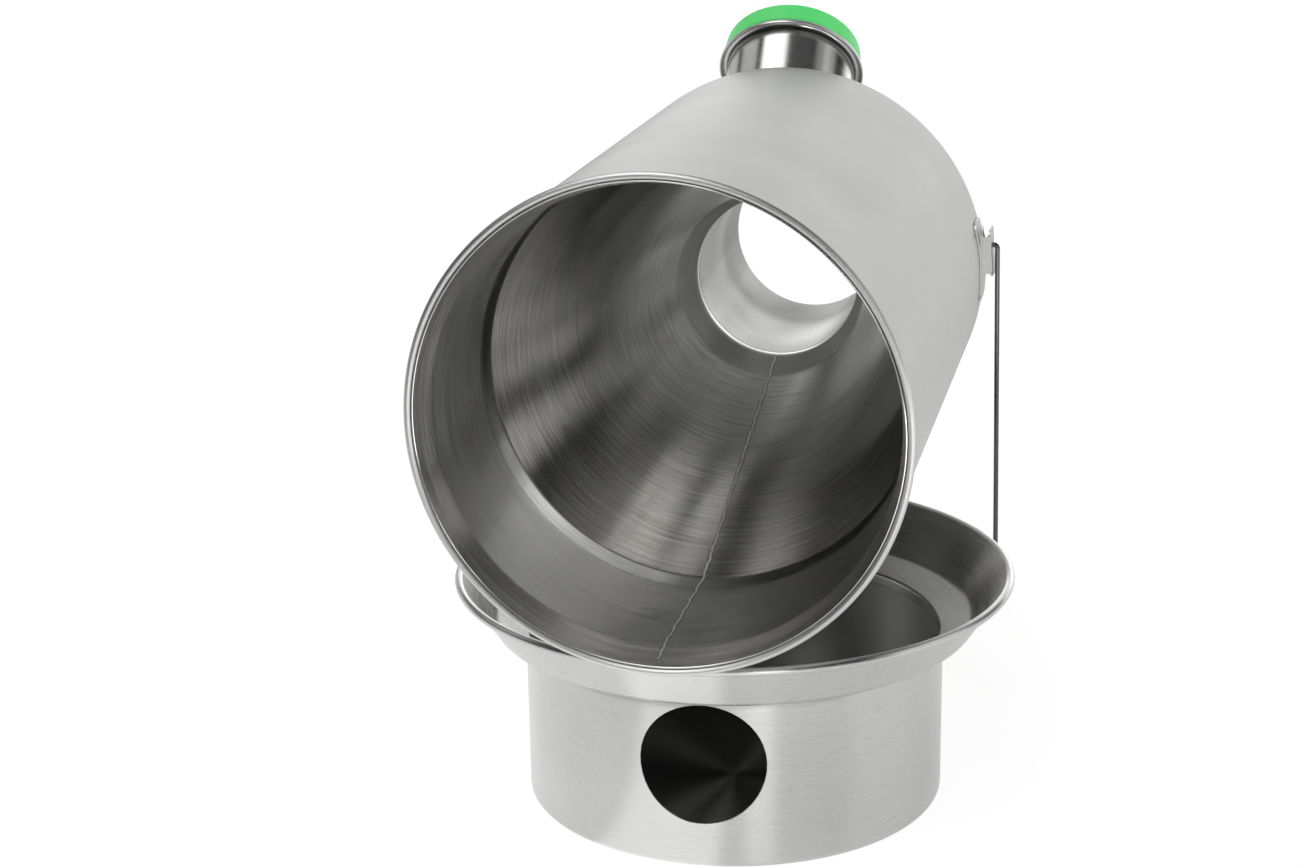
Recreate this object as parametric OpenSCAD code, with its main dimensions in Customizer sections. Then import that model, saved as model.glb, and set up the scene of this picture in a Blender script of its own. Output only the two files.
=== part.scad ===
// Storm kettle laid across its fire base: a double-walled steel kettle with a
// chimney through it, a spout with a silicone stopper, and a wooden-gripped bail.
// Millimetres. The origin is the centre of the fire base's underside, +Z is up and
// the lying kettle's chimney points along +Y. Each kettle piece is drawn standing
// on its rim, spout towards +Y, and kettle_place() then lays it on the base.

/* [Fire base] */
// Height from the ground to the top of the lip
base_h = 76.5; // [68:0.5:90]
// Outside radius of the drum
drum_r = 69.5; // [64:0.5:70]
// Radius of the drum's bottom corner
drum_corner_r = 1.5; // [1:0.5:12]
// Height of the collar above the drum's top edge
collar_h = 20.9; // [18:0.1:26]
// Sheet thickness of the drum and the collar
base_sheet = 0.7; // [0.5:0.05:1]
// Room on the ledge between the standing kettle's bead and the collar's wall
ledge_room = 3.6; // [2:0.1:6]
// Rise of the ledge from the drum's edge to that turn
ledge_rise = 3.5; // [2:0.1:6]
// Radius of the turn between the ledge and the wall
ledge_bend_r = 4; // [2:0.5:6]
// Outside radius of the rolled lip
lip_r = 92.5; // [90:0.5:98]
// Radius of the lip's roll, at mid-sheet
lip_roll_r = 1.1; // [0.9:0.05:3]
// Depth of the collar's spigot inside the drum
spigot_len = 3.2; // [2:0.2:8]
// Diameter of the air hole
air_hole_d = 40; // [25:1:42]
// Wall left between the air hole and the drum's top edge
air_hole_gap = 0.7; // [0.5:0.1:8]
// Turn of the air hole from straight ahead, in degrees
air_hole_turn = 2.7; // [-30:0.1:30]

/* [Kettle body] */
// Outside radius of the shell
shell_r = 73.4; // [68:0.1:80]
// Sheet thickness of the kettle
sheet = 0.6; // [0.4:0.05:0.8]
// Height of the sharp corner between shell and shoulder
shoulder_z = 225; // [205:1:240]
// Radius of the turn between shell and shoulder
shoulder_bend_r = 6; // [3:0.5:8]
// Length of the shoulder's straight skirt below its turn
shoulder_skirt = 4; // [2:0.5:10]
// Height of the rolled bead round the rim above the shell's side
bead_step = 2.3; // [1.8:0.1:3.5]
// Radius of the bead's roll, at mid-sheet
bead_roll_r = 0.8; // [0.6:0.05:1]
// Height at which the shell starts to flare into the bead
bead_flare_z = 4.8; // [4:0.2:8]
// Width of a longitudinal weld
seam_w = 1.3; // [0.8:0.1:2.5]
// Height of a longitudinal weld above the sheet
seam_proud = 0.14; // [0.08:0.02:0.2]
// Turn of the longitudinal welds from the spout, in degrees
seam_turn = 184.5; // [160:0.5:200]

/* [Fire chamber and flue] */
// Width of the water space beside the skirt
water_gap = 2.45; // [1.7:0.05:4]
// Height at which the cone starts
cone_z = 70.5; // [40:0.5:90]
// Height at which the cone ends in the flue
neck_z = 202; // [180:1:215]
// Inside radius of the flue
flue_r = 29.9; // [26:0.1:34]
// Height of the top of the flue
flue_top_z = 285; // [275:1:300]
// Height of the turned-up collar that the shoulder closes on the flue with
flue_collar_h = 4.5; // [2:0.5:10]
// Radius of the flue's rolled top edge, at mid-sheet
flue_roll_r = 1.3; // [1:0.1:2]

/* [Spout and stopper] */
// Tilt of the spout from the kettle's axis, in degrees
spout_tilt = 39; // [36:0.5:42]
// Distance from the spout's neck to the shell's side, straight out from the axis
spout_edge_gap = 2.53; // [2.2:0.01:8]
// Distance from the spout's neck to the flue's collar, straight out from the axis
spout_collar_gap = 2.18; // [1.8:0.01:8]
// Height of the lip above the shoulder
spout_h = 24.9; // [20:0.1:32]
// Sheet thickness of the spout
spout_sheet = 0.7; // [0.5:0.05:1]
// Width of the spout's rolled lip outside its neck
spout_lip_w = 3.2; // [2.6:0.05:5]
// Depth of the rolled lip
spout_lip_h = 2.45; // [2.2:0.05:4]
// Distance by which the stopper's head stays inside the lip's edge
head_inset = 0.95; // [0:0.05:3]
// Distance by which the head narrows towards its top
head_taper = 1; // [0:0.1:3]
// Height of the stopper's head
head_h = 8.6; // [6:0.1:12]
// Length of the stopper's plug
plug_len = 17; // [12:0.5:22]
// Wire radius of the stopper's loop
loop_wire_r = 0.65; // [0.5:0.05:1]
// Radius of the loop's round top, at mid-wire
loop_r = 5.6; // [4:0.1:8]
// Height of the loop above the head
loop_h = 19.2; // [12:0.1:22]
// Sideways lean of the loop, in degrees
loop_lean = 10; // [0:1:15]
// Depth to which the loop's ends are moulded into the head
loop_seat = 6; // [4:0.5:7]

/* [Brackets and bail] */
// Height of the brackets on the shell
bracket_z = 215; // [205:0.5:218]
// Length of a bracket's plate round the shell
bracket_len = 29; // [26:1:36]
// Width of a bracket's plate along the kettle
bracket_w = 16; // [14:0.5:20]
// Sheet thickness of a bracket
bracket_sheet = 0.6; // [0.5:0.1:1]
// Distance from a bracket's plate to the outside of its ear
ear_depth = 3.5; // [2.7:0.1:4.5]
// Length of the ear's outer wall
ear_len = 17; // [14:0.5:20]
// Width of the ear
ear_w = 12.5; // [10:0.5:14]
// Offset of the plate towards the spout
plate_y = 1; // [-1:0.5:3]
// Offset of the ear towards the spout
ear_y = 4; // [2:0.5:6]
// Offset of the bail's hole towards the spout
pivot_y = 6.2; // [2:0.2:7]
// Radius of the bail's wire
wire_r = 0.9; // [0.8:0.05:1.4]
// Distance from the pivots to the grip's centre line
bail_reach = 127.5; // [118:0.5:135]
// Inward lean of the bail's arms, in degrees
bail_lean = 3; // [0:0.5:6]
// Radius of the bail's corners, at mid-wire
bail_corner_r = 12; // [6:1:16]
// Length of the wooden grip
grip_len = 104; // [80:2:112]
// Radius of the grip at its middle
grip_r = 11; // [9:0.5:13]
// Radius of the grip at its ends
grip_end_r = 8.4; // [7:0.2:9]

/* [Lying pose] */
// Roll of the lying kettle about its own axis, in degrees
kettle_roll = 4; // [0:0.5:8]
// Sideways place of the lying kettle's axis
kettle_x = -4.4; // [-10:0.2:10]
// Gap between the bead and the lip that it hooks in front of
hook_gap = 0.9; // [0.4:0.1:3]
// Clearance between the kettle and the lip that carries it
seat_gap = 0.2; // [0.1:0.05:0.5]

/* [Hidden] */
$fn = 96;
fit = 0.05;              // clearance between pieces that are fixed together
running = 0.08;          // radial clearance of the wire in its holes
seam_gap = 0.02;         // clearance under the weld inside the chamber
rim_gap = 0.12;          // clearance between shell and chamber near the rim
mouth_gap = 0.2;         // clearance between the bead and the chamber's mouth
plug_gap = 0.35;         // clearance between the stopper's plug and the neck
head_gap = 0.3;          // clearance between the stopper's head and the lip
bend_steps = 8;
wire_fn = 40;            // segments round a bent wire
bend_thinning = 0.06;    // loss of wire radius in a bend
bend_lap = 0.35;         // length by which a straight run laps over a bend

// Fire base
drum_h = base_h - collar_h;
air_hole_h = drum_h - air_hole_gap - air_hole_d/2;
bead_r = shell_r + bead_step;
ledge_r = bead_r + ledge_room;
spigot_r = drum_r - base_sheet*1.5 - fit;
ledge_foot_z = drum_h + base_sheet/2 + fit;
roll_centre = [lip_r - base_sheet/2 - lip_roll_r, base_h - base_sheet/2 - lip_roll_r];

// Kettle body
shell_mid = shell_r - sheet/2;
bead_centre = [bead_r - sheet/2 - bead_roll_r, sheet/2 + bead_roll_r];
bead_depth = bead_centre[1] + bead_roll_r + sheet/2;
joint_z = shoulder_z - shoulder_bend_r*tan((90 - spout_tilt)/2) - shoulder_skirt;
flue_mid = flue_r + sheet/2;
collar_mid = flue_r + sheet*1.5 + fit;
collar_z = shoulder_z + (shell_mid - collar_mid)*tan(spout_tilt);
chamber_mid = shell_r - sheet*1.5 - water_gap;
mouth_mid = bead_centre[0] - bead_roll_r - sheet - mouth_gap;
mouth_z = 0.9;
skirt_foot_z = 11.5;
skirt_foot_step = 0.85;
neck_len = 5;

// Spout: its foot fills the slope between the flue's collar and the shell's side
spout_far = shell_r - spout_edge_gap;
spout_near = collar_mid + sheet/2 + spout_collar_gap;
spout_offset = (spout_far + spout_near)/2;
spout_r = (spout_far - spout_near)/2/cos(spout_tilt);
spout_lip_r = spout_r + spout_lip_w;
spout_mid = spout_r - spout_sheet/2;
spout_roll_r = (spout_lip_r - spout_sheet/2 - spout_mid)/2;
spout_foot_z = shoulder_z + (shell_mid - spout_offset)*tan(spout_tilt)
               + sheet/2/cos(spout_tilt);
spout_bore_r = spout_r - spout_sheet;
head_z = spout_h + head_gap;
head_r = spout_lip_r - head_inset;
head_top_r = head_r - head_taper;
plug_r = spout_bore_r - plug_gap;
rib_count = 3;
whistle_r = 9;
whistle_h = 5;
steam_hole_r = 1.6;
fillet_w = 0.9;          // width of the weld round the spout's foot
neck_sink = spout_r*2/3; // depth to which the neck is drawn before it is trimmed
head_edge_r = 1.4;       // radius of the head's top edge
head_chamfer = 0.8;      // chamfer of the head's lower edge
plug_taper = 1.3;        // difference in radius over the plug's length
rib_proud = 0.9;         // height of the plug's ribs above its upper end
rib_r = 1.5;             // radius of a rib's round back
recess_w = 4;            // width of the hollow round the whistle's mouth
recess_h = 4;            // depth of that hollow
whistle_z = 1;           // height of the whistle above the hollow

// Brackets and bail
plate_gap = 0.15;
plate_in = shell_r + plate_gap;
plate_out = plate_in + bracket_sheet;
ear_out = plate_out + ear_depth;
ear_in = ear_out - bracket_sheet;
hole_r = wire_r + running;
hook_r = 1.35;           // mid-wire radius of the bend at each pivot
hook_lead = 0.35;        // straight run of wire between the ear and that bend
hook_run = hook_r*tan((90 + bail_lean)/2);
arm_x = ear_out + hook_lead + hook_run;
bar_x = arm_x - bail_reach*tan(bail_lean);
corner_run = bail_corner_r*tan((90 - bail_lean)/2);
bar_half = bar_x - corner_run;
rivet_head_t = 1.2;
rivet_head_r = 1.8;
spot_r = 2;
wing_low = 7.3;          // reach of the ear's side walls below the ear's middle
wing_high = 6.1;         // reach of the front side wall above it
wing_back = 2.8;         // reach of the back side wall above it

// The lying kettle's place: its rim plane stands in front of the base's lip
kettle_z = base_h + shell_r + seat_gap;
kettle_y = -sqrt(pow(lip_r, 2) - pow(kettle_x, 2)) - hook_gap - bead_depth;

// Paths of bent sheet
function unit(v) = v/norm(v);
function left_of(d) = [-d[1], d[0]];
function heading(p, i) = unit(p[min(i + 1, len(p) - 1)] - p[max(i - 1, 0)]);
// A path moved to its left by d
function shifted(p, d) = [for (i = [0:len(p) - 1]) p[i] + left_of(heading(p, i))*d];
function reversed(p) = [for (i = [len(p) - 1:-1:0]) p[i]];
// The outline of a sheet of thickness t that follows a mid-line path
function sheet_outline(p, t) = concat(shifted(p, t/2), reversed(shifted(p, -t/2)));
function arc(c, r, a0, a1, n) =
    [for (i = [0:n]) let (a = a0 + (a1 - a0)*i/n) c + r*[cos(a), sin(a)]];
// The same points on a very fine grid, so that level runs come out exactly level
function on_grid(p) = [for (q = p) [round(q[0]*1e5)/1e5, round(q[1]*1e5)/1e5]];
function short_turn(a) = a > 180 ? a - 360 : a < -180 ? a + 360 : a;
// The corner b of the line a, b, c rounded with radius r
function bend(a, b, c, r, n = bend_steps) =
    let (u = unit(a - b), v = unit(c - b), half = acos(u*v)/2,
         m = b + unit(u + v)*r/sin(half),
         s = b + u*r/tan(half) - m, e = b + v*r/tan(half) - m,
         a0 = atan2(s[1], s[0]), turn = short_turn(atan2(e[1], e[0]) - a0))
    arc(m, r, a0, a0 + turn, n);
// Angle on a circle where a line from p, passing it on the left, touches it
function touch_angle(p, c, r) =
    let (d = p - c) atan2(d[1], d[0]) - acos(r/norm(d));

module revolved_sheet(path, t) {
    rotate_extrude() polygon(on_grid(sheet_outline(path, t)));
}

// Fire base

// The air hole, punched through the drum and the spigot behind it
module air_hole_cut() {
    rotate([0, 0, air_hole_turn])
    translate([0, 0, air_hole_h])
    rotate([90, 0, 0])
    cylinder(d = air_hole_d, h = drum_r + 10);
}

module fire_drum() {
    corner = [drum_r - base_sheet/2, base_sheet/2];
    path = concat([[0, base_sheet/2]],
                  bend([0, base_sheet/2], corner, [corner[0], drum_h], drum_corner_r),
                  [[corner[0], drum_h]]);
    color("silver")
    difference() {
        revolved_sheet(path, base_sheet);
        air_hole_cut();
    }
}

module fire_collar() {
    foot = [spigot_r, drum_h - spigot_len];
    inner = [spigot_r, ledge_foot_z];
    outer = [ledge_r, ledge_foot_z + ledge_rise];
    start = touch_angle(outer, roll_centre, lip_roll_r) + 360;
    wall_top = roll_centre + lip_roll_r*[cos(start), sin(start)];
    path = concat([foot],
                  bend(foot, inner, outer, 1),
                  bend(inner, outer, wall_top, ledge_bend_r),
                  arc(roll_centre, lip_roll_r, start, -95, 18));
    color("silver")
    difference() {
        revolved_sheet(path, base_sheet);
        air_hole_cut();
    }
}

// Kettle, standing on its rim

module kettle_place() {
    translate([kettle_x, kettle_y, kettle_z])
    rotate([0, -kettle_roll, 0])
    rotate([90, 0, 180])
    children();
}

module outer_shell() {
    path = concat([[shell_mid, joint_z]],
                  bend([shell_mid, joint_z], [shell_mid, bead_flare_z],
                       bead_centre + bead_roll_r*[cos(190), sin(190)], 6, 4),
                  arc(bead_centre, bead_roll_r, 190, 460, 14));
    color("silver") kettle_place() revolved_sheet(path, sheet);
}

// A straight slab that cuts a weld of even width out of a ring
module seam_slab(z0, z1) {
    rotate([0, 0, seam_turn])
    translate([-seam_w/2, 0, z0])
    cube([seam_w, bead_r + 5, z1 - z0]);
}

module shell_seam() {
    color("gray") kettle_place()
    intersection() {
        rotate_extrude()
        translate([shell_r, 0])
        square([seam_proud, joint_z]);
        seam_slab(bead_flare_z + 3, joint_z - 0.5);
    }
}

// Ring that seals the bottom of the water space
module rim_weld() {
    z0 = bead_flare_z + 3;
    color("gray") kettle_place()
    rotate_extrude()
    polygon([[shell_r - sheet, z0], [shell_r - sheet, z0 + 2],
             [chamber_out(z0 + 2), z0 + 2], [chamber_out(z0), z0]]);
}

module shoulder() {
    corner = [shell_mid, shoulder_z];
    neck = [collar_mid, collar_z];
    foot = [shell_mid, joint_z];
    top = [collar_mid, collar_z + flue_collar_h];
    path = concat([foot],
                  bend(foot, corner, neck, shoulder_bend_r),
                  bend(corner, neck, top, 1.2),
                  [top]);
    color("silver") kettle_place()
    difference() {
        revolved_sheet(path, sheet);
        spout_place() cylinder(r = spout_bore_r, h = 2*spout_r, center = true);
    }
}

// Mid-line of the fire chamber's single sheet: mouth, skirt, cone and neck
mouth = [mouth_mid, mouth_z];
mouth_turn = [shell_r - sheet*1.5 - rim_gap, bead_flare_z + 0.2];
skirt_top = [chamber_mid, cone_z];
skirt_foot = [chamber_mid + skirt_foot_step, skirt_foot_z];
neck_point = [flue_mid, neck_z];
neck_top = [flue_mid, neck_z + neck_len];
chamber_path = concat([mouth],
                      bend(mouth, mouth_turn, skirt_foot, 3, 4),
                      bend(mouth_turn, skirt_foot, skirt_top, 8, 4),
                      bend(skirt_foot, skirt_top, neck_point, 10),
                      bend(skirt_top, neck_point, neck_top, 6),
                      [neck_top]);
// Outside radius of the chamber just above its mouth, at height z
function chamber_out(z) =
    mouth_turn[0] + (skirt_foot[0] - mouth_turn[0])
    *(z - mouth_turn[1])/(skirt_foot[1] - mouth_turn[1]) + sheet/2 + fit;

module fire_chamber() {
    color("silver") kettle_place() revolved_sheet(chamber_path, sheet);
}

module chamber_seam() {
    band = concat(shifted(chamber_path, sheet/2 + seam_proud),
                  reversed(shifted(chamber_path, sheet/2 + seam_gap)));
    color("gray") kettle_place()
    intersection() {
        rotate_extrude() polygon(on_grid(band));
        seam_slab(mouth_z + 1.5, neck_z - 1);
    }
}

module neck_weld() {
    z0 = neck_top[1];
    r0 = flue_mid + sheet/2;
    color("gray") kettle_place()
    rotate_extrude()
    polygon([[r0 + fit, z0 - 1], [r0 + 0.9, z0 - 0.6], [r0 + 0.9, z0 + 0.6], [r0 + fit, z0 + 1]]);
}

module flue_tube() {
    roll = [flue_mid + flue_roll_r, flue_top_z - sheet/2 - flue_roll_r];
    path = concat([[flue_mid, neck_top[1]]], arc(roll, flue_roll_r, 180, -90, 12));
    color("silver") kettle_place() revolved_sheet(path, sheet);
}

module flue_weld() {
    z0 = collar_z + flue_collar_h;
    r0 = flue_r + sheet + fit;
    color("gray") kettle_place()
    rotate_extrude()
    polygon([[r0, z0], [collar_mid + sheet/2 + 0.1, z0], [r0 + 0.45, z0 + 0.9], [r0, z0 + 1.1]]);
}

// Spout, drawn on its own axis with z = 0 at the shoulder's surface

module spout_place() {
    translate([0, spout_offset, spout_foot_z])
    rotate([-spout_tilt, 0, 0])
    children();
}

// Everything inside the shoulder's outer surface, grown by a gap
module under_shoulder(gap) {
    low = shoulder_z - 2*spout_r;
    out = sheet/2 + gap;
    lift = out/cos(spout_tilt);
    rotate_extrude()
    polygon([[0, low], [shell_mid + out, low],
             [shell_mid + out, shoulder_z + lift - out*tan(spout_tilt)],
             [collar_mid, collar_z + lift], [0, collar_z + lift]]);
}

module spout() {
    z_roll = spout_h - spout_sheet/2 - spout_roll_r;
    roll = [spout_mid + spout_roll_r, z_roll];
    path = concat([[spout_mid, -neck_sink]],
                  arc(roll, spout_roll_r, 180, 0, 12),
                  [[roll[0] + spout_roll_r, spout_h - spout_lip_h]]);
    color("silver") kettle_place()
    difference() {
        spout_place() revolved_sheet(path, spout_sheet);
        under_shoulder(fit);
    }
}

// Weld fillet round the foot of the spout
module spout_weld() {
    color("gray") kettle_place()
    difference() {
        intersection() {
            spout_place()
            difference() {
                cylinder(r = spout_r + fillet_w, h = 2*neck_sink, center = true);
                cylinder(r = spout_r + 0.02, h = 2*neck_sink + 1, center = true);
            }
            under_shoulder(fillet_w - 0.15);
        }
        under_shoulder(fit);
    }
}

// Stopper: silicone plug and head, with a wire loop and a steam whistle inside

// The loop's own frame: z = 0 on top of the head, leaning to the right
module loop_place() {
    translate([0, 0, head_z + head_h])
    rotate([0, -loop_lean, 0])
    children();
}

module stopper() {
    foot_z = head_z - plug_len;
    root_r = plug_r - rib_proud;
    color("limegreen") kettle_place() spout_place()
    difference() {
        union() {
            rotate_extrude()
            polygon(concat([[0, head_z], [head_r - head_chamfer, head_z],
                            [head_r, head_z + head_chamfer]],
                           arc([head_top_r, head_z + head_h] - head_edge_r*[1, 1],
                               head_edge_r, 5, 90, 6),
                           [[0, head_z + head_h]]));
            translate([0, 0, foot_z])
            cylinder(r1 = root_r - plug_taper, r2 = root_r, h = plug_len);
            for (i = [0:rib_count - 1]) {
                translate([0, 0, foot_z + plug_len*(i + 0.9)/(rib_count + 0.5)])
                rotate_extrude() translate([plug_r - rib_r - 0.3, 0]) circle(r = rib_r);
            }
        }
        translate([0, 0, foot_z - 1]) cylinder(r = whistle_r + recess_w, h = recess_h + 1);
        translate([0, 0, foot_z - 1])
        cylinder(r = whistle_r, h = recess_h + whistle_z + whistle_h + 1);
        translate([0, 0, foot_z]) cylinder(r = steam_hole_r, h = plug_len + head_h + 1);
        loop_place() {
            for (side = [-1, 1]) {
                translate([side*loop_r, 0, -loop_seat])
                cylinder(r = loop_wire_r + fit, h = loop_seat + 3);
            }
        }
    }
}

// Two thin discs with a hole in line, joined by a rim: steam makes them whistle
module whistle_capsule() {
    z0 = head_z - plug_len + recess_h + whistle_z;
    r_out = whistle_r - fit;
    wall = 0.5;
    color("lightgray") kettle_place() spout_place()
    rotate_extrude()
    polygon([[steam_hole_r, z0], [r_out, z0], [r_out, z0 + whistle_h - fit],
             [steam_hole_r, z0 + whistle_h - fit], [steam_hole_r, z0 + whistle_h - wall],
             [r_out - wall, z0 + whistle_h - wall], [r_out - wall, z0 + wall],
             [steam_hole_r, z0 + wall]]);
}

module stopper_loop() {
    top = loop_h - loop_wire_r - loop_r;
    foot = fit - loop_seat;
    $fn = wire_fn;
    color("lightgray") kettle_place() spout_place() loop_place()
    union() {
        for (side = [-1, 1]) {
            translate([side*loop_r, 0, foot]) cylinder(r = loop_wire_r, h = top - foot);
        }
        translate([0, 0, top])
        rotate([90, 0, 0])
        rotate_extrude(angle = 180) translate([loop_r, 0]) circle(r = loop_wire_r);
    }
}

// Brackets and bail, drawn on the side towards +x

// A rectangle in the y-z plane with round corners, thick along x
module rounded_plate(x0, x1, len_y, len_z, r) {
    translate([x0, 0, 0])
    rotate([90, 0, 90])
    linear_extrude(height = x1 - x0) {
        square([len_y - 2*r, len_z], center = true);
        square([len_y, len_z - 2*r], center = true);
        for (sy = [-1, 1], sz = [-1, 1]) {
            translate([sy*(len_y/2 - r), sz*(len_z/2 - r)]) circle(r = r);
        }
    }
}

// Half an ellipse round c, from its left end through its lowest point to its right
function scoop(c, half, depth) =
    [for (i = [0:12]) c + [half*cos(180 + 15*i), depth*sin(180 + 15*i)]];

// One side wall of the ear, scooped out between the plate and the outer wall: it
// reaches up to high in the middle of the scoop, and down to wing_low
module ear_wing(high) {
    root_x = plate_in + bracket_sheet/2;
    mid_x = (plate_out + ear_in)/2;
    half = (ear_in - plate_out)/2 + 0.15;
    top = ear_len/2;
    linear_extrude(height = bracket_sheet)
    difference() {
        translate([root_x, -top]) square([ear_in + 0.2 - root_x, 2*top]);
        polygon(concat(scoop([mid_x, top], half, top - high),
                       [[mid_x + half, top + 1], [mid_x - half, top + 1]]));
        translate([mid_x, -wing_low - 4]) circle(r = 4);
    }
}

module bracket() {
    translate([0, 0, bracket_z])
    difference() {
        union() {
            intersection() {
                rotate_extrude()
                translate([plate_in, -bracket_w/2]) square([bracket_sheet, bracket_w]);
                translate([0, plate_y, 0])
                rounded_plate(plate_in - 8, plate_out + 1, bracket_len, bracket_w, 3);
            }
            translate([0, ear_y, 0]) {
                rounded_plate(ear_in, ear_out, ear_len, ear_w, 2);
                translate([0, 0, 0.4 - ear_w/2]) ear_wing(wing_high);
                translate([0, 0, ear_w/2 - 0.4 - bracket_sheet]) ear_wing(wing_back);
            }
        }
        translate([plate_out + 0.3, pivot_y, 0]) rotate([0, 90, 0]) cylinder(r = hole_r, h = ear_depth);
    }
}

module bracket_right() {
    color("silver") kettle_place() mirror([1, 0, 0]) bracket();
}

module bracket_left() {
    color("silver") kettle_place() bracket();
}

// Nuggets of the spot welds between each plate and the shell
module spot_welds() {
    color("gray") kettle_place()
    translate([0, 0, bracket_z])
    intersection() {
        difference() {
            cylinder(r = plate_in - 0.01, h = bracket_w, center = true);
            cylinder(r = shell_r + 0.01, h = bracket_w + 2, center = true);
        }
        for (y = [-bracket_len/2 + 4, bracket_len/2 - 4]) {
            translate([0, plate_y + y, 0])
            rotate([0, 90, 0]) cylinder(r = spot_r, h = 2*plate_out, center = true);
        }
    }
}

// A straight run of wire along z from z0 to z1
module wire_run(z0, z1) {
    translate([0, 0, z0]) cylinder(r = wire_r, h = z1 - z0);
}

// A bend of wire from the x axis through an angle. The wire thins a hair in a
// bend, and the straight runs lap over its ends.
module wire_bend(r, angle) {
    rotate_extrude(angle = angle) translate([r, 0]) circle(r = wire_r - bend_thinning);
}

// Half of the bail: headed end, hook, arm, corner and half of the bar,
// in the plane z = 0 with the pivot line along x
module bail_half() {
    $fn = wire_fn;
    head_x = ear_in - 0.3 - rivet_head_t;
    hook_start = arm_x - hook_run;
    arm_len = bail_reach/cos(bail_lean) - hook_run - corner_run;
    translate([head_x, 0, 0]) rotate([0, 90, 0]) cylinder(r = rivet_head_r, h = rivet_head_t);
    rotate([0, 90, 0]) wire_run(head_x + 0.5, hook_start + bend_lap);
    translate([hook_start, -hook_r, 0])
    rotate([0, 0, -bail_lean])
    wire_bend(hook_r, 90 + bail_lean);
    translate([arm_x, 0, 0])
    rotate([0, 0, -bail_lean])
    rotate([90, 0, 0])
    wire_run(hook_run - bend_lap, hook_run + arm_len + bend_lap);
    translate([bar_half, -bail_reach + bail_corner_r, 0])
    rotate([0, 0, -90])
    wire_bend(bail_corner_r, 90 - bail_lean);
    translate([0, -bail_reach, 0]) rotate([0, 90, 0]) wire_run(0, bar_half + bend_lap);
}

module bail_wire() {
    color("lightgray") kettle_place()
    translate([0, pivot_y, bracket_z])
    union() {
        bail_half();
        mirror([1, 0, 0]) bail_half();
    }
}

module grip() {
    half = grip_len/2;
    bulge = grip_r - grip_end_r;
    side = [for (i = [0:10]) let (x = half - 2 - (grip_len - 4)*i/10)
            [grip_r - bulge*pow(x/(half - 2), 2), x]];
    color("burlywood") kettle_place()
    translate([0, pivot_y - bail_reach, bracket_z])
    rotate([0, 90, 0])
    rotate_extrude()
    polygon(concat([[wire_r + running, half], [grip_end_r - 2, half]],
                   side,
                   [[grip_end_r - 2, -half], [wire_r + running, -half]]));
}

fire_drum();
fire_collar();
outer_shell();
shell_seam();
rim_weld();
shoulder();
fire_chamber();
chamber_seam();
neck_weld();
flue_tube();
flue_weld();
spout();
spout_weld();
bracket_right();
bracket_left();
spot_welds();
bail_wire();
grip();
stopper();
whistle_capsule();
stopper_loop();
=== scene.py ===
"""A storm kettle in brushed stainless steel, lying across its fire base."""
import math

import bmesh
import bpy
import numpy as np
from mathutils import Matrix


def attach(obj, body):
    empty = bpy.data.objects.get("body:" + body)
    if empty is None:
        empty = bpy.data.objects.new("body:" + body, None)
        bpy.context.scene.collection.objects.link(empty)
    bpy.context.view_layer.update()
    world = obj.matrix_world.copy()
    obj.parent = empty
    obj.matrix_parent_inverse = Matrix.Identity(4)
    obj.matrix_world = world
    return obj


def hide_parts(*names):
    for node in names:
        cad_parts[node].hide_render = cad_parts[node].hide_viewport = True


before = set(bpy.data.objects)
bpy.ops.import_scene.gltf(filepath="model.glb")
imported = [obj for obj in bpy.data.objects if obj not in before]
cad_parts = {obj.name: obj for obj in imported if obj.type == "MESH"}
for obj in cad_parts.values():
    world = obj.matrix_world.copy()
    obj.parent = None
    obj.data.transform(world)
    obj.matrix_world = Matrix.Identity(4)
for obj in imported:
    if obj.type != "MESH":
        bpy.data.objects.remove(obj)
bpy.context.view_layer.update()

TAU = 2*math.pi
MM = 0.001

# Camera, in metres and radians
CAMERA_AT = (0.14838, -0.74954, 0.34978)
CAMERA_YAW = 0.2300
CAMERA_PITCH = 0.2897
CAMERA_ROLL = -0.0168
CAMERA_LENS = 67.24

# Sizes of the part, in millimetres and degrees
BASE_SHEET = 0.7
BASE_H = 76.5
DRUM_R = 69.5
DRUM_CORNER_R = 1.5
DRUM_H = 55.6
LEDGE_R = 79.3
LEDGE_RISE = 3.5
LEDGE_BEND_R = 4.0
LIP_R = 92.5
LIP_ROLL_R = 1.1
SPIGOT_LEN = 3.2
AIR_HOLE_R = 20.0
AIR_HOLE_H = 34.9
AIR_HOLE_TURN = 2.7
FIT = 0.05

SHEET = 0.6
SHELL_R = 73.4
SHOULDER_Z = 225.0
SHOULDER_BEND_R = 6.0
SHOULDER_SKIRT = 4.0
BEAD_R = 75.7
BEAD_ROLL_R = 0.8
BEAD_FLARE_Z = 4.8
BEAD_START = 190.0
SEAM_AZIMUTH = 274.5
MOUTH_Z = 0.9
MOUTH_GAP = 0.2
FLARE_GAP = 0.12
CHAMBER_R = 69.75
SKIRT_FOOT_Z = 11.5
SKIRT_SPREAD = 0.85
CONE_Z = 70.5
NECK_Z = 202.0
NECK_LEN = 5.0
FLUE_R = 29.9
FLUE_TOP_Z = 285.0
FLUE_COLLAR_H = 4.5
FLUE_ROLL_R = 1.3

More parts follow.
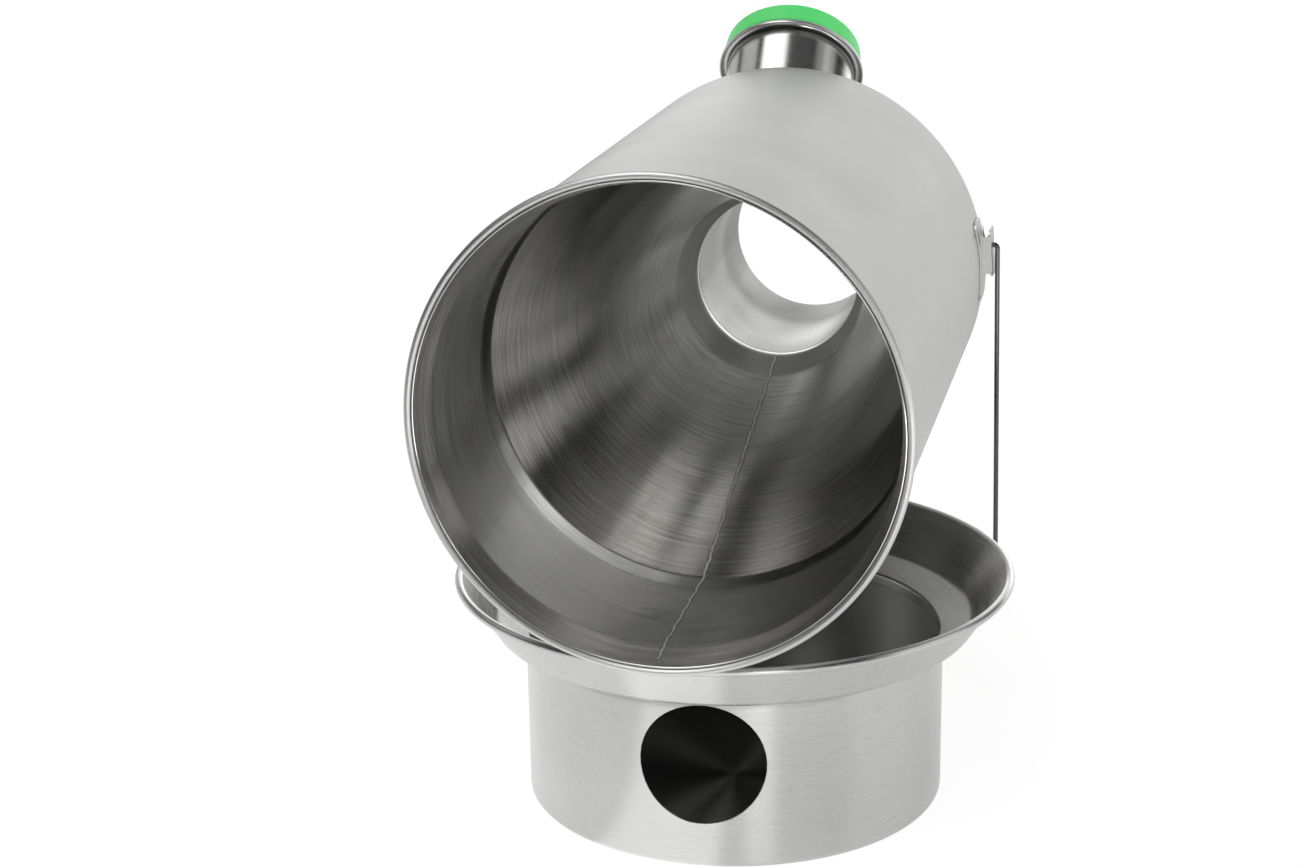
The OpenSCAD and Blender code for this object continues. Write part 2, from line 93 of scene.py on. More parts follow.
SPOUT_TILT = 39.0
SPOUT_OFFSET = 52.1
SPOUT_R = 24.15
SPOUT_H = 24.9
SPOUT_SHEET = 0.7
SPOUT_LIP_R = 27.35
SPOUT_LIP_H = 2.45
SPOUT_CUT_TOP = 1.0
SPOUT_CUT_FOOT = -6.0
HEAD_R = 26.4
HEAD_TOP_R = 25.4
HEAD_H = 8.6
HEAD_GAP = 0.3
PLUG_LEN = 17.0
PLUG_GAP = 0.35
RIB_R = 1.5
RIB_PITCH = 3.5
WHISTLE_R = 9.0
WHISTLE_ROOM = (4.0, 10.0)
BORE_STEP = 4.0
STEAM_HOLE_R = 1.6
LOOP_WIRE_R = 0.65
LOOP_R = 5.6
LOOP_H = 19.2
LOOP_LEAN = 10.0
LOOP_SEAT = 6.0

BRACKET_Z = 215.0
PIVOT_Y = 6.2
EAR_OUT = 77.65
EAR_IN = 77.05
WIRE_R = 0.9
WIRE_HEAD_R = 1.8
WIRE_HEAD = (0.3, 1.5)
WIRE_END = 0.6
BAIL_REACH = 127.5
BAIL_LEAN = 3.0
BAIL_CORNER_R = 12.0
HOOK_R = 1.35
HOOK_LEAD = 0.35
GRIP_LEN = 104.0
GRIP_R = 11.0
GRIP_END_R = 8.4
GRIP_ROUND = 2.0
GRIP_BORE_GAP = 0.08

KETTLE_ROLL = 4.0
KETTLE_AT = (-4.4, -95.4953, 150.1)

# Mid-sheet lines that follow from them
SHELL_MID = SHELL_R - SHEET/2
BEAD_CENTRE = np.array([BEAD_R - SHEET/2 - BEAD_ROLL_R, SHEET/2 + BEAD_ROLL_R])
HALF_SHOULDER = math.radians(90 - SPOUT_TILT)/2
JOINT_Z = SHOULDER_Z - SHOULDER_BEND_R*math.tan(HALF_SHOULDER) - SHOULDER_SKIRT
TILT = math.radians(SPOUT_TILT)
FLUE_MID = FLUE_R + SHEET/2
COLLAR_MID = FLUE_R + SHEET*1.5 + FIT
COLLAR_Z = SHOULDER_Z + (SHELL_MID - COLLAR_MID)*math.tan(TILT)
SPOUT_MID = SPOUT_R - SPOUT_SHEET/2
SPOUT_BORE_R = SPOUT_R - SPOUT_SHEET
SPOUT_ROLL_R = (SPOUT_LIP_R - SPOUT_SHEET/2 - SPOUT_MID)/2
SPOUT_FOOT_Z = SHOULDER_Z + (SHELL_MID - SPOUT_OFFSET)*math.tan(TILT) + SHEET/2/math.cos(TILT)
HEAD_Z = SPOUT_H + HEAD_GAP
PLUG_R = SPOUT_BORE_R - PLUG_GAP

# How finely the meshes are cut: points in a sheet's rounded edge, rings round a hole, the length of a
# straight run that is cut, how near to a bend its first cut lies, and how far inside the sheet's faces
# the air hole's edge is square, in millimetres
CAP_POINTS = 5
HOLE_RINGS = 8
LONG_RUN = 1.2
NEAR_BEND = 0.25
PUNCHED_EDGE = 0.12


# Profiles: paths of points (radius, height) along a bent sheet

def unit(v):
    """Vectors at length one."""
    return v/np.linalg.norm(v, axis=-1, keepdims=True)


def arc(centre, r, a0, a1, steps):
    """Points on a circle from angle a0 to a1, in degrees."""
    a = np.radians(np.linspace(a0, a1, steps + 1))
    return np.asarray(centre) + r*np.column_stack([np.cos(a), np.sin(a)])


def bend(a, b, c, r, steps):
    """The corner b of the line a, b, c rounded: an arc that touches both lines."""
    a, b, c = (np.asarray(p, float) for p in (a, b, c))
    u, v = unit(a - b), unit(c - b)
    half = math.acos(np.clip(u @ v, -1, 1))/2
    middle = b + unit(u + v)*r/math.sin(half)
    (x0, y0), (x1, y1) = (b + side*r/math.tan(half) - middle for side in (u, v))
    a0, a1 = math.degrees(math.atan2(y0, x0)), math.degrees(math.atan2(y1, x1))
    turn = (a1 - a0 + 180) % 360 - 180
    return arc(middle, r, a0, a0 + turn, steps)


def joined(*parts):
    """One path from points and arcs in order."""
    return np.vstack([np.atleast_2d(np.asarray(p, float)) for p in parts])


def rounded(points, radii, steps):
    """A closed outline with each corner rounded by its own radius, or sharp where that is 0."""
    n = len(points)
    return joined(*(bend(points[i - 1], p, points[(i + 1) % n], r, steps) if r else p
                    for i, (p, r) in enumerate(zip(points, radii))))


def filled(path, step):
    """The path with its long straight runs cut into steps, and short ones next to each bend, so
    that the shading of a bend doesn't run out along the straight sheet."""
    out = [path[:1]]
    for p, q in zip(path[:-1], path[1:]):
        length = np.linalg.norm(q - p)
        t = [1.0]
        if length > LONG_RUN:
            near = min(NEAR_BEND, length/4)/length
            count = max(1, math.ceil(length/step))
            t = [near, *(near + (1 - 2*near)*np.arange(1, count)/count), 1 - near, 1.0]
        out.append(p + np.outer(t, q - p))
    return np.vstack(out)


def filled_loop(outline, step):
    """The same for a closed outline."""
    return filled(np.vstack([outline, outline[:1]]), step)[:-1]


def headings(path):
    """Unit direction of the path at each point: midway between the runs before and after it."""
    run = np.diff(path, axis=0)
    run = run/np.maximum(np.linalg.norm(run, axis=1, keepdims=True), 1e-9)
    return unit(np.vstack([run[:1], run[1:] + run[:-1], run[-1:]]))


def normals(path):
    """Unit direction to the left of the path at each point."""
    d = headings(path)
    return np.column_stack([-d[:, 1], d[:, 0]])


def shifted(path, distance):
    """The path moved sideways, to its left."""
    return path + distance*normals(path)


def sheet_outline(path, t, round_start=True):
    """Closed outline of a sheet of thickness t along a mid-line: its left side, half a circle round
    its end, its right side backwards, and half a circle round its start, or a square edge there."""
    d, n = headings(path), normals(path)
    a = np.linspace(0, math.pi, CAP_POINTS + 2)[1:-1, None]
    ends = [path[i] + sign*t/2*(np.cos(a)*n[i] + np.sin(a)*d[i]) for i, sign in ((-1, 1), (0, -1))]
    parts = [shifted(path, t/2), ends[0], shifted(path, -t/2)[::-1]]
    return joined(*parts, ends[1]) if round_start else joined(*parts)


# Placing: from a piece's own frame into the row frame, all in millimetres

def rotated(a, b, degrees):
    """Two coordinates turned in their plane."""
    c, s = math.cos(math.radians(degrees)), math.sin(math.radians(degrees))
    return a*c - b*s, a*s + b*c


def axes(p):
    """The coordinates x, y and z of points."""
    return p[..., 0], p[..., 1], p[..., 2]


def xyz(x, y, z):
    """Points from their coordinates."""
    return np.stack([x, y, z], -1)


def in_base(p):
    """The fire base stands in the row frame."""
    return p


def in_kettle(p):
    """The kettle stands on its rim, spout towards y, and is laid along the row's +Y and rolled."""
    x, y, z = axes(p)
    across, up = rotated(-x, y, KETTLE_ROLL)
    return xyz(across, z, up) + np.array(KETTLE_AT)


def in_spout(p):
    """The spout's own axis is z, with z = 0 where it meets the shoulder's surface."""
    x, y, z = axes(p)
    y, z = rotated(y, z, -SPOUT_TILT)
    return in_kettle(xyz(x, y + SPOUT_OFFSET, z + SPOUT_FOOT_Z))


def in_loop(p):
    """The wire loop's own frame: z = 0 on the stopper's head, leaning to the right."""
    x, y, z = axes(p)
    x, z = rotated(x, z, LOOP_LEAN)
    return in_spout(xyz(x, y, z + HEAD_Z + HEAD_H))


def in_bail(p):
    """The bail's own frame: x along the line of the pivots, towards the right of the photo's
    view, and y away from the spout."""
    x, y, z = axes(p)
    return in_kettle(xyz(-x, PIVOT_Y + y, BRACKET_Z + z))


# Meshes

class Skin:
    """Corners and four-cornered faces gathered for one piece, with a UV in metres per face corner."""

    def __init__(self):
        self.points, self.faces, self.uvs, self.count = [], [], [], 0

    def add_points(self, p):
        """Adds points (n, 3) and returns their numbers."""
        p = np.asarray(p, float).reshape(-1, 3)
        self.points.append(p)
        self.count += len(p)
        return np.arange(self.count - len(p), self.count)

    def add_faces(self, corners, uvs):
        """Adds faces (n, 4) with their UVs (n, 4, 2)."""
        self.faces.append(np.asarray(corners).reshape(-1, 4))
        self.uvs.append(np.asarray(uvs, float).reshape(-1, 4, 2))

    def add_grid(self, p, uv, closed=True, keep=None):
        """Adds a grid of points (rows, columns, 3). Columns run round, and rows close on themselves
        where closed is true. uv is (rows + closed, columns + 1, 2). keep masks the faces (rows,
        columns). Returns the points' numbers as (rows, columns)."""
        rows, columns = p.shape[:2]
        ids = self.add_points(p).reshape(rows, columns)
        i, j = np.meshgrid(np.arange(rows if closed else rows - 1), np.arange(columns), indexing="ij")
        if keep is not None:
            chosen = keep[:i.shape[0]]
            i, j = i[chosen], j[chosen]
        i1, j1 = (i + 1) % rows, (j + 1) % columns
        corners = np.stack([ids[i, j], ids[i, j1], ids[i1, j1], ids[i1, j]], -1)
        uvs = np.stack([uv[i, j], uv[i, j + 1], uv[i + 1, j + 1], uv[i + 1, j]], -2)
        self.add_faces(corners, uvs)
        return ids


def lengths(path, closed):
    """Length along a path up to each point, in metres, and once round where it is closed."""
    whole = np.vstack([path, path[:1]]) if closed else path
    step = np.linalg.norm(np.diff(whole, axis=0), axis=1)
    return np.concatenate([[0], np.cumsum(step)])*MM


def uv_grid(u, v):
    """UVs (rows, columns, 2) of a grid with u along its columns and v along its rows."""
    return np.stack(np.meshgrid(u, v, indexing="xy"), -1)


def on_axis(r, z, a):
    """Points at radii r, heights z and azimuths a, in radians."""
    return xyz(r*np.cos(a), r*np.sin(a), z + 0*a)


def add_spun(skin, path, place, columns=256, start=0.0, closed=True, scale_r=None, keep=None, shape=None):
    """Adds a path (radius, height) turned about z, from azimuth start. u runs along the turn at
    radius scale_r and v along the path, in metres. shape may change the points (rows, columns, 3)
    before they are placed."""
    a = np.radians(start) + TAU*np.arange(columns)/columns
    p = on_axis(path[:, :1], path[:, 1:], a)
    if shape is not None:
        p = shape(p)
    u = np.linspace(0, TAU*(scale_r or path[:, 0].max())*MM, columns + 1)
    return skin.add_grid(place(p), uv_grid(u, lengths(path, closed)), closed=closed, keep=keep)


def add_tube(skin, points, r, sides, place):
    """Adds a round tube: a circle carried along points (n, 3), square to the path at each, and
    drawn together to a point at both ends."""
    d = unit(np.gradient(points, axis=0))
    flat = np.zeros(3)
    flat[np.argmin(np.ptp(points, axis=0))] = 1.0
    side = unit(np.cross(d, flat))
    other = np.cross(side, d)
    a = TAU*np.arange(sides)[:, None]/sides
    p = points[:, None] + r*(side[:, None]*np.cos(a) + other[:, None]*np.sin(a))
    first, last = (np.repeat(end[None], sides, 1) for end in (points[:1], points[-1:]))
    v = lengths(np.vstack([points[:1], points, points[-1:]]), False)
    uv = uv_grid(np.linspace(0, TAU*r*MM, sides + 1), v)
    skin.add_grid(place(np.concatenate([first, p, last])), uv, closed=False)


def linked(name, data):
    """A new object of the scene."""
    thing = bpy.data.objects.new(name, data)
    bpy.context.scene.collection.objects.link(thing)
    return thing


def make(name, skin, material, body, node, sharp=38):
    """Turns a skin into a finished object that stands for a CAD node: closed poles, outward faces,
    smooth shading that breaks at edges of more than sharp degrees, its material and body."""
    faces, uvs = np.vstack(skin.faces), np.vstack(skin.uvs)
    used, faces = np.unique(faces, return_inverse=True)
    faces = faces.reshape(-1, 4)
    points = (np.vstack(skin.points)*MM)[used]
    q = points[faces]
    volume = sum(np.einsum("ij,ij->i", q[:, 0], np.cross(q[:, k], q[:, k + 1])).sum() for k in (1, 2))
    if volume < 0:
        faces, uvs = faces[:, ::-1], uvs[:, ::-1]
    mesh = bpy.data.meshes.new(name)
    mesh.from_pydata(points.tolist(), [], faces.tolist())
    layer = mesh.uv_layers.new(name="UVMap")
    layer.data.foreach_set("uv", uvs.reshape(-1))
    work = bmesh.new()
    work.from_mesh(mesh)
    bmesh.ops.remove_doubles(work, verts=work.verts, dist=2e-7)
    work.to_mesh(mesh)
    work.free()
    mesh.validate()
    mesh.shade_smooth()
    mesh.set_sharp_from_angle(angle=math.radians(sharp))
    piece = linked(name, mesh)
    mesh.materials.append(material)
    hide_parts(node)
    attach(piece, body)


# Shader nodes

def fill(tree, node, inputs):
    """Gives a node's inputs their values, or links them to the outputs of other nodes."""
    for key, value in inputs.items():
        socket = node.inputs[key]
        if isinstance(value, bpy.types.NodeSocket):
            tree.links.new(value, socket)
        elif socket.type == "RGBA":
            socket.default_value = (*value, 1.0)
        else:
            socket.default_value = value


def outputs(tree, kind, inputs=None, **settings):
    """The outputs of a new shader node with these settings and inputs."""
    node = tree.nodes.new("ShaderNode" + kind)
    for key, value in settings.items():
        setattr(node, key, value)
    fill(tree, node, inputs or {})
    return node.outputs


def calc(tree, operation, a, b=None, clamp=False):
    """A math node's result on sockets or numbers."""
    inputs = {0: a} if b is None else {0: a, 1: b}
    return outputs(tree, "Math", inputs, operation=operation, use_clamp=clamp)[0]


def times(tree, a, b):
    """a times b."""
    return calc(tree, "MULTIPLY", a, b)


def plus(tree, a, b):
    """a plus b."""
    return calc(tree, "ADD", a, b)


def above(tree, value, threshold, slope):
    """0 up to a threshold and rising from there at a slope, up to 1."""
    return calc(tree, "MULTIPLY", calc(tree, "SUBTRACT", value, threshold), slope, True)


def spread(tree, value, low, high):
    """A noise's usual range, 0.25 to 0.75, mapped to low..high."""
    return outputs(tree, "MapRange", {0: value, 1: 0.25, 2: 0.75, 3: low, 4: high})[0]


def ramped(tree, value, start, end, low, high):
    """A value mapped smoothly from start..end to low..high."""
    inputs = {0: value, 1: start, 2: end, 3: low, 4: high}
    return outputs(tree, "MapRange", inputs, interpolation_type="SMOOTHSTEP")[0]


def band(tree, value, middle, half, soft):
    """1 where a value lies within half of a middle, fading to 0 over soft."""
    away = calc(tree, "ABSOLUTE", calc(tree, "SUBTRACT", value, middle))
    return ramped(tree, away, half, half + soft, 1.0, 0.0)


def mixed(tree, factor, low, high):
    """A colour between two, each a tuple or a socket."""
    return outputs(tree, "Mix", {0: factor, 6: low, 7: high}, data_type="RGBA")[2]


def tinted(tree, mask, share, colour, tint):
    """A colour drawn towards a tint by a share where the mask is 1."""
    return mixed(tree, times(tree, mask, share), colour, tint)


def uv_of(tree):
    """The piece's UV."""
    return outputs(tree, "UVMap", uv_map="UVMap")[0]


def object_place(tree):
    """Object coordinates."""
    return outputs(tree, "TexCoord")["Object"]


def split(tree, vector):
    """The three numbers of a vector."""
    return tuple(outputs(tree, "SeparateXYZ", {0: vector}))


def noise(tree, vector, scale, detail=2.0, rough=0.5, distortion=0.0):
    """A noise texture's value, from 0 to 1."""
    return outputs(tree, "TexNoise", {"Vector": vector, "Scale": scale, "Detail": detail,
                                      "Roughness": rough, "Distortion": distortion})["Fac"]


def stretched_noise(tree, vector, along, across, detail, seed):
    """Noise drawn out along u: streaks of the length along and the width across, in metres, each a
    number or a socket. Returns a value from 0 to 1."""
    u, v, _ = split(tree, vector)
    place = {0: calc(tree, "DIVIDE", u, along), 1: calc(tree, "DIVIDE", v, across), 2: seed}
    return noise(tree, outputs(tree, "CombineXYZ", place)[0], 1.0, detail, 0.6)


def turned(tree, vector, angle):
    """A vector turned about z, in radians."""
    return outputs(tree, "VectorRotate", {"Vector": vector, "Angle": angle}, rotation_type="Z_AXIS")[0]


def raised(tree, height, strength, distance):
    """The normal of a surface raised by a height from 0 to 1 over a distance in metres."""
    return outputs(tree, "Bump", {"Strength": strength, "Distance": distance, "Height": height})[0]


def group(name, inputs, results):
    """A new node group, its inputs' sockets and its output node. inputs gives each input's number,
    or None for a vector, and results names the numbers that it puts out."""
    tree = bpy.data.node_groups.new(name, "ShaderNodeTree")
    for label, value in inputs.items():
        kind = "NodeSocketVector" if value is None else "NodeSocketFloat"
        socket = tree.interface.new_socket(name=label, in_out="INPUT", socket_type=kind)
        if value is not None:
            socket.default_value = value
    for label in results:
        tree.interface.new_socket(name=label, in_out="OUTPUT", socket_type="NodeSocketFloat")
    return tree, tree.nodes.new("NodeGroupInput").outputs, tree.nodes.new("NodeGroupOutput")


def brushed_grain():
    """Lines left by a brushing belt or wheel: fine streaks and a few coarse ones, along u."""
    inputs = {"UV": None, "Streak": 0.02, "Line": 0.0002}
    tree, given, end = group("brushed_grain", inputs, ("Fine", "Coarse"))
    uv, streak, line = given["UV"], given["Streak"], given["Line"]
    wide, long = times(tree, line, 4.5), times(tree, streak, 1.8)
    fill(tree, end, {"Fine": stretched_noise(tree, uv, streak, line, 2.0, 3.7),
                     "Coarse": stretched_noise(tree, uv, long, wide, 3.0, 9.1)})
    return tree


def handling_marks():
    """What use and polishing leave on steel: broad cloudy smudges and a few short scratches."""
    inputs = {"Vector": None, "UV": None, "Turn": 0.6}
    tree, given, end = group("handling_marks", inputs, ("Smudge", "Scratch"))
    lines = stretched_noise(tree, turned(tree, given["UV"], given["Turn"]), 0.006, 0.00022, 0.0, 1.3)
    patches = noise(tree, given["Vector"], 60.0)
    scratch = times(tree, above(tree, lines, 0.70, 22.0), above(tree, patches, 0.60, 14.0))
    fill(tree, end, {"Smudge": noise(tree, given["Vector"], 28.0, 3.0), "Scratch": scratch})
    return tree


# Materials

GRAIN = brushed_grain()
MARKS = handling_marks()
FINE_SHARE = 0.55
GRAIN_ROUGHNESS = 0.04
SCRATCH_DARK = (0.12, 0.12, 0.115)


def new_material(name):
    """An empty material, its node tree and its Principled shader."""
    m = bpy.data.materials.new(name)
    m.use_nodes = True
    return m, m.node_tree, m.node_tree.nodes["Principled BSDF"]


def brushed_steel(name, low, high, rough, streak, line, relief, anisotropy, wander=0.05, scratch=0.5,
                  extra=None):
    """Brushed stainless steel. low and high are the colour in and on the grain, rough its roughness,
    streak and line the grain's length and width in metres, relief its depth. The shine is drawn out
    across the grain. wander is how far smudges change the roughness, scratch how much scratches
    show, and extra adds marks of this sheet's own."""
    m, tree, shader = new_material(name)
    uv = uv_of(tree)
    grain = outputs(tree, "Group", {"UV": uv, "Streak": streak, "Line": line}, node_tree=GRAIN)
    marks = outputs(tree, "Group", {"UV": uv, "Vector": object_place(tree)}, node_tree=MARKS)
    both = plus(tree, times(tree, grain["Fine"], FINE_SHARE), times(tree, grain["Coarse"], 1 - FINE_SHARE))
    colour = mixed(tree, spread(tree, both, 0.0, 1.0), low, high)
    colour = tinted(tree, marks["Scratch"], scratch, colour, SCRATCH_DARK)
    cloud = spread(tree, marks["Smudge"], -wander, wander)
    fine = spread(tree, both, -GRAIN_ROUGHNESS, GRAIN_ROUGHNESS)
    roughness = plus(tree, plus(tree, cloud, fine), rough)
    if extra is not None:
        colour, rougher = extra(tree, uv, colour)
        roughness = plus(tree, roughness, rougher)
    tangent = outputs(tree, "Tangent", direction_type="UV_MAP", uv_map="UVMap")[0]
    fill(tree, shader, {"Base Color": colour, "Roughness": roughness, "Metallic": 1.0,
                        "Anisotropic": anisotropy, "Anisotropic Rotation": 0.25, "Tangent": tangent,
                        "Normal": raised(tree, both, relief, 0.00003)})
    return m


def plain_steel(name, colour, rough, relief=0.3, grain_scale=900.0):
    """Bare bent wire or pressed steel with a faint drawn surface, on Object coordinates."""
    m, tree, shader = new_material(name)
    place = object_place(tree)
    grain = noise(tree, place, grain_scale, 3.0)
    cloud = noise(tree, place, 70.0)
    dark = tuple(c*0.86 for c in colour)
    fill(tree, shader, {"Base Color": mixed(tree, spread(tree, grain, 0.0, 1.0), dark, colour),
                        "Roughness": spread(tree, cloud, rough - 0.05, rough + 0.06),
                        "Metallic": 1.0, "Normal": raised(tree, grain, relief, 0.00002)})
    return m


def silicone():
    """Matt green silicone with a faint bloom and moulding texture."""
    m, tree, shader = new_material("green_silicone")
    place = object_place(tree)
    cloud = noise(tree, place, 45.0, 4.0)
    colour = mixed(tree, spread(tree, cloud, 0.0, 1.0), (0.115, 0.930, 0.215), (0.140, 0.970, 0.245))
    fill(tree, shader, {"Base Color": colour, "Roughness": spread(tree, cloud, 0.42, 0.52),
                        "Normal": raised(tree, noise(tree, place, 2600.0), 0.25, 0.00005),
                        "Subsurface Weight": 0.12, "Subsurface Radius": (0.3, 1.0, 0.4),
                        "Subsurface Scale": 0.002, "Sheen Weight": 0.15})
    return m


def turned_wood():
    """Oiled beech turned on a lathe: long grain, with short dark flecks along it."""
    m, tree, shader = new_material("turned_beech")
    turn = {"Vector": object_place(tree), "Rotation": (0.0, math.radians(KETTLE_ROLL), 0.0)}
    place = outputs(tree, "Mapping", turn)[0]
    long, short = (outputs(tree, "VectorMath", {0: place, 1: scale}, operation="MULTIPLY")[0]
                   for scale in ((14.0, 260.0, 260.0), (260.0, 2400.0, 2400.0)))
    grain = noise(tree, long, 1.0, 5.0, distortion=0.6)
    flecks = above(tree, noise(tree, short, 1.0, 1.0), 0.62, 8.0)
    wood = mixed(tree, spread(tree, grain, 0.0, 1.0), (0.40, 0.225, 0.105), (0.60, 0.385, 0.205))
    fill(tree, shader, {"Base Color": mixed(tree, flecks, wood, (0.22, 0.10, 0.045)),
                        "Roughness": spread(tree, grain, 0.38, 0.52),
                        "Normal": raised(tree, grain, 0.35, 0.0001), "Coat Weight": 0.12})
    return m


def weld_strip():
    """A longitudinal weld: bright metal between two dark, broken edge lines. u runs across the
    strip from 0 to 1, and v along it in metres."""
    m, tree, shader = new_material("weld_strip")
    u, v, _ = split(tree, uv_of(tree))
    place = outputs(tree, "CombineXYZ", {0: times(tree, v, 900.0), 1: times(tree, u, 1.5)})[0]
    ripple = noise(tree, place, 1.0)
    away = calc(tree, "ABSOLUTE", calc(tree, "SUBTRACT", u, 0.5))
    uneven = times(tree, calc(tree, "SUBTRACT", ripple, 0.5), 0.16)
    dark = above(tree, plus(tree, away, uneven), 0.27, 14.0)
    fill(tree, shader, {"Base Color": mixed(tree, dark, (0.92, 0.92, 0.91), (0.02, 0.02, 0.018)),
                        "Roughness": spread(tree, ripple, 0.32, 0.5), "Metallic": 0.9,
                        "Normal": raised(tree, ripple, 0.6, 0.0001)})
    return m


# Marks along a sheet's outline, in metres. Each is a middle, half a width and a soft edge, or where a
# change starts and ends. In the chamber: the line that the drawing die left inside the cone's ridge,
# the end of the skirt, and the neck. In the drum: painted light past its rim, and painted shade from
# the foot of its wall on. In the flue: inside its far end. On the spout: its lip's face, and the
# painted shade in the open crease under it.
RIDGE_V = (0.0595, 0.00014, 0.00018)
SKIRT_V = (0.056, 0.064)
NECK_V = (0.2015, 0.0060, 0.004)
INSIDE_V = (0.121, 0.124)
PAINTED_SHADE_V = (0.160, 0.190)
HEAT_V = (0.062, 0.011, 0.012)
LIP_V = (0.0370, 0.0020, 0.0006)
CREASE_SHADE_V = (0.0407, 0.0007, 0.0005)

# Each function of marks returns the sheet's new colour and how much rougher it is


def chamber_marks(tree, uv, colour):
    """The die's line, broken along its length, the skirt that was left duller than the cone, and a
    band round the neck drawn darker grey and rougher."""
    along = split(tree, uv)[1]
    broken = above(tree, stretched_noise(tree, uv, 0.0018, 0.01, 2.0, 5.5), 0.42, 8.0)
    line = times(tree, band(tree, along, *RIDGE_V), broken)
    neck = band(tree, along, *NECK_V)
    skirt = ramped(tree, along, *SKIRT_V, 1.0, 0.0)
    colour = tinted(tree, neck, 0.55, colour, (0.26, 0.26, 0.255))
    colour = tinted(tree, skirt, 0.3, colour, (0.30, 0.295, 0.285))
    rougher = plus(tree, times(tree, skirt, 0.11), times(tree, neck, 0.3))
    return tinted(tree, line, 0.75, colour, (0.04, 0.04, 0.035)), rougher


def drum_painted_light_and_shade(tree, uv, colour):
    """The drum's inside: painted light on its wall past the rim, which is also rougher, and painted shade on
    its foot and floor.
    """
    along = split(tree, uv)[1]
    # painted light: the wall past the rim mixed towards near white
    painted_light = mixed(tree, ramped(tree, along, *INSIDE_V, 0.0, 0.65), colour, (0.96, 0.95, 0.93))
    # painted shade: the foot and floor mixed towards near black
    painted_shade = mixed(tree, ramped(tree, along, *PAINTED_SHADE_V, 0.0, 0.90), painted_light, (0.05, 0.05, 0.045))
    return painted_shade, ramped(tree, along, *INSIDE_V, 0.0, 0.30)


def heat_band(tree, uv, colour):
    """The band that the flames greyed inside the flue's far end."""
    heated = band(tree, split(tree, uv)[1], *HEAT_V)
    return tinted(tree, heated, 0.55, colour, (0.20, 0.20, 0.195)), 0.0


def lip_dulling_and_crease_shade(tree, uv, colour):
    """The spout's rolled lip, left duller than its neck, and painted shade: the crease behind its edge
    painted near black.
    """
    along = split(tree, uv)[1]
    # painted shade: the crease under the lip mixed towards black
    crease_shade = tinted(tree, band(tree, along, *CREASE_SHADE_V), 0.93, colour, (0.02, 0.02, 0.02))
    return crease_shade, times(tree, band(tree, along, *LIP_V), 0.16)


base_finish = dict(low=(0.53, 0.53, 0.525), high=(0.64, 0.64, 0.635), rough=0.27, streak=0.022,
                   line=0.00014, relief=0.18, anisotropy=0.95, wander=0.02, scratch=0.3)
drum_steel = brushed_steel("drum_steel", **base_finish, extra=drum_painted_light_and_shade)
base_steel = brushed_steel("base_steel", **base_finish)
shell_steel = brushed_steel("shell_steel", low=(0.54, 0.54, 0.535), high=(0.61, 0.61, 0.605), rough=0.44,
                            streak=0.022, line=0.00010, relief=0.15, anisotropy=0.5, wander=0.02, scratch=0.2)
chamber_steel = brushed_steel("chamber_steel", low=(0.40, 0.40, 0.39), high=(0.90, 0.895, 0.885), rough=0.12,
                              streak=0.022, line=0.00036, relief=1.0, anisotropy=1.0, wander=0.02,
                              extra=chamber_marks)
flue_steel = brushed_steel("flue_steel", low=(0.50, 0.50, 0.49), high=(0.64, 0.64, 0.63), rough=0.30,
                           streak=0.016, line=0.00022, relief=0.5, anisotropy=0.9, extra=heat_band)
spout_steel = brushed_steel("spout_steel", low=(0.60, 0.60, 0.59), high=(0.72, 0.72, 0.71), rough=0.20,
                            streak=0.010, line=0.00030, relief=0.25, anisotropy=0.5, scratch=0.2,
                            extra=lip_dulling_and_crease_shade)
wire_steel = plain_steel("wire_steel", (0.12, 0.12, 0.115), 0.18)
pressed_steel = plain_steel("pressed_steel", (0.62, 0.62, 0.61), 0.38)
weld_steel = plain_steel("weld_steel", (0.50, 0.49, 0.48), 0.42, relief=0.8, grain_scale=1400.0)
seam_steel = weld_strip()
green = silicone()
beech = turned_wood()


# Holes in a spun sheet

def between(a, b):
    """Corners or UVs of the faces between two closed rings."""
    return np.stack([a, np.roll(a, -1, 0), np.roll(b, -1, 0), b], 1)


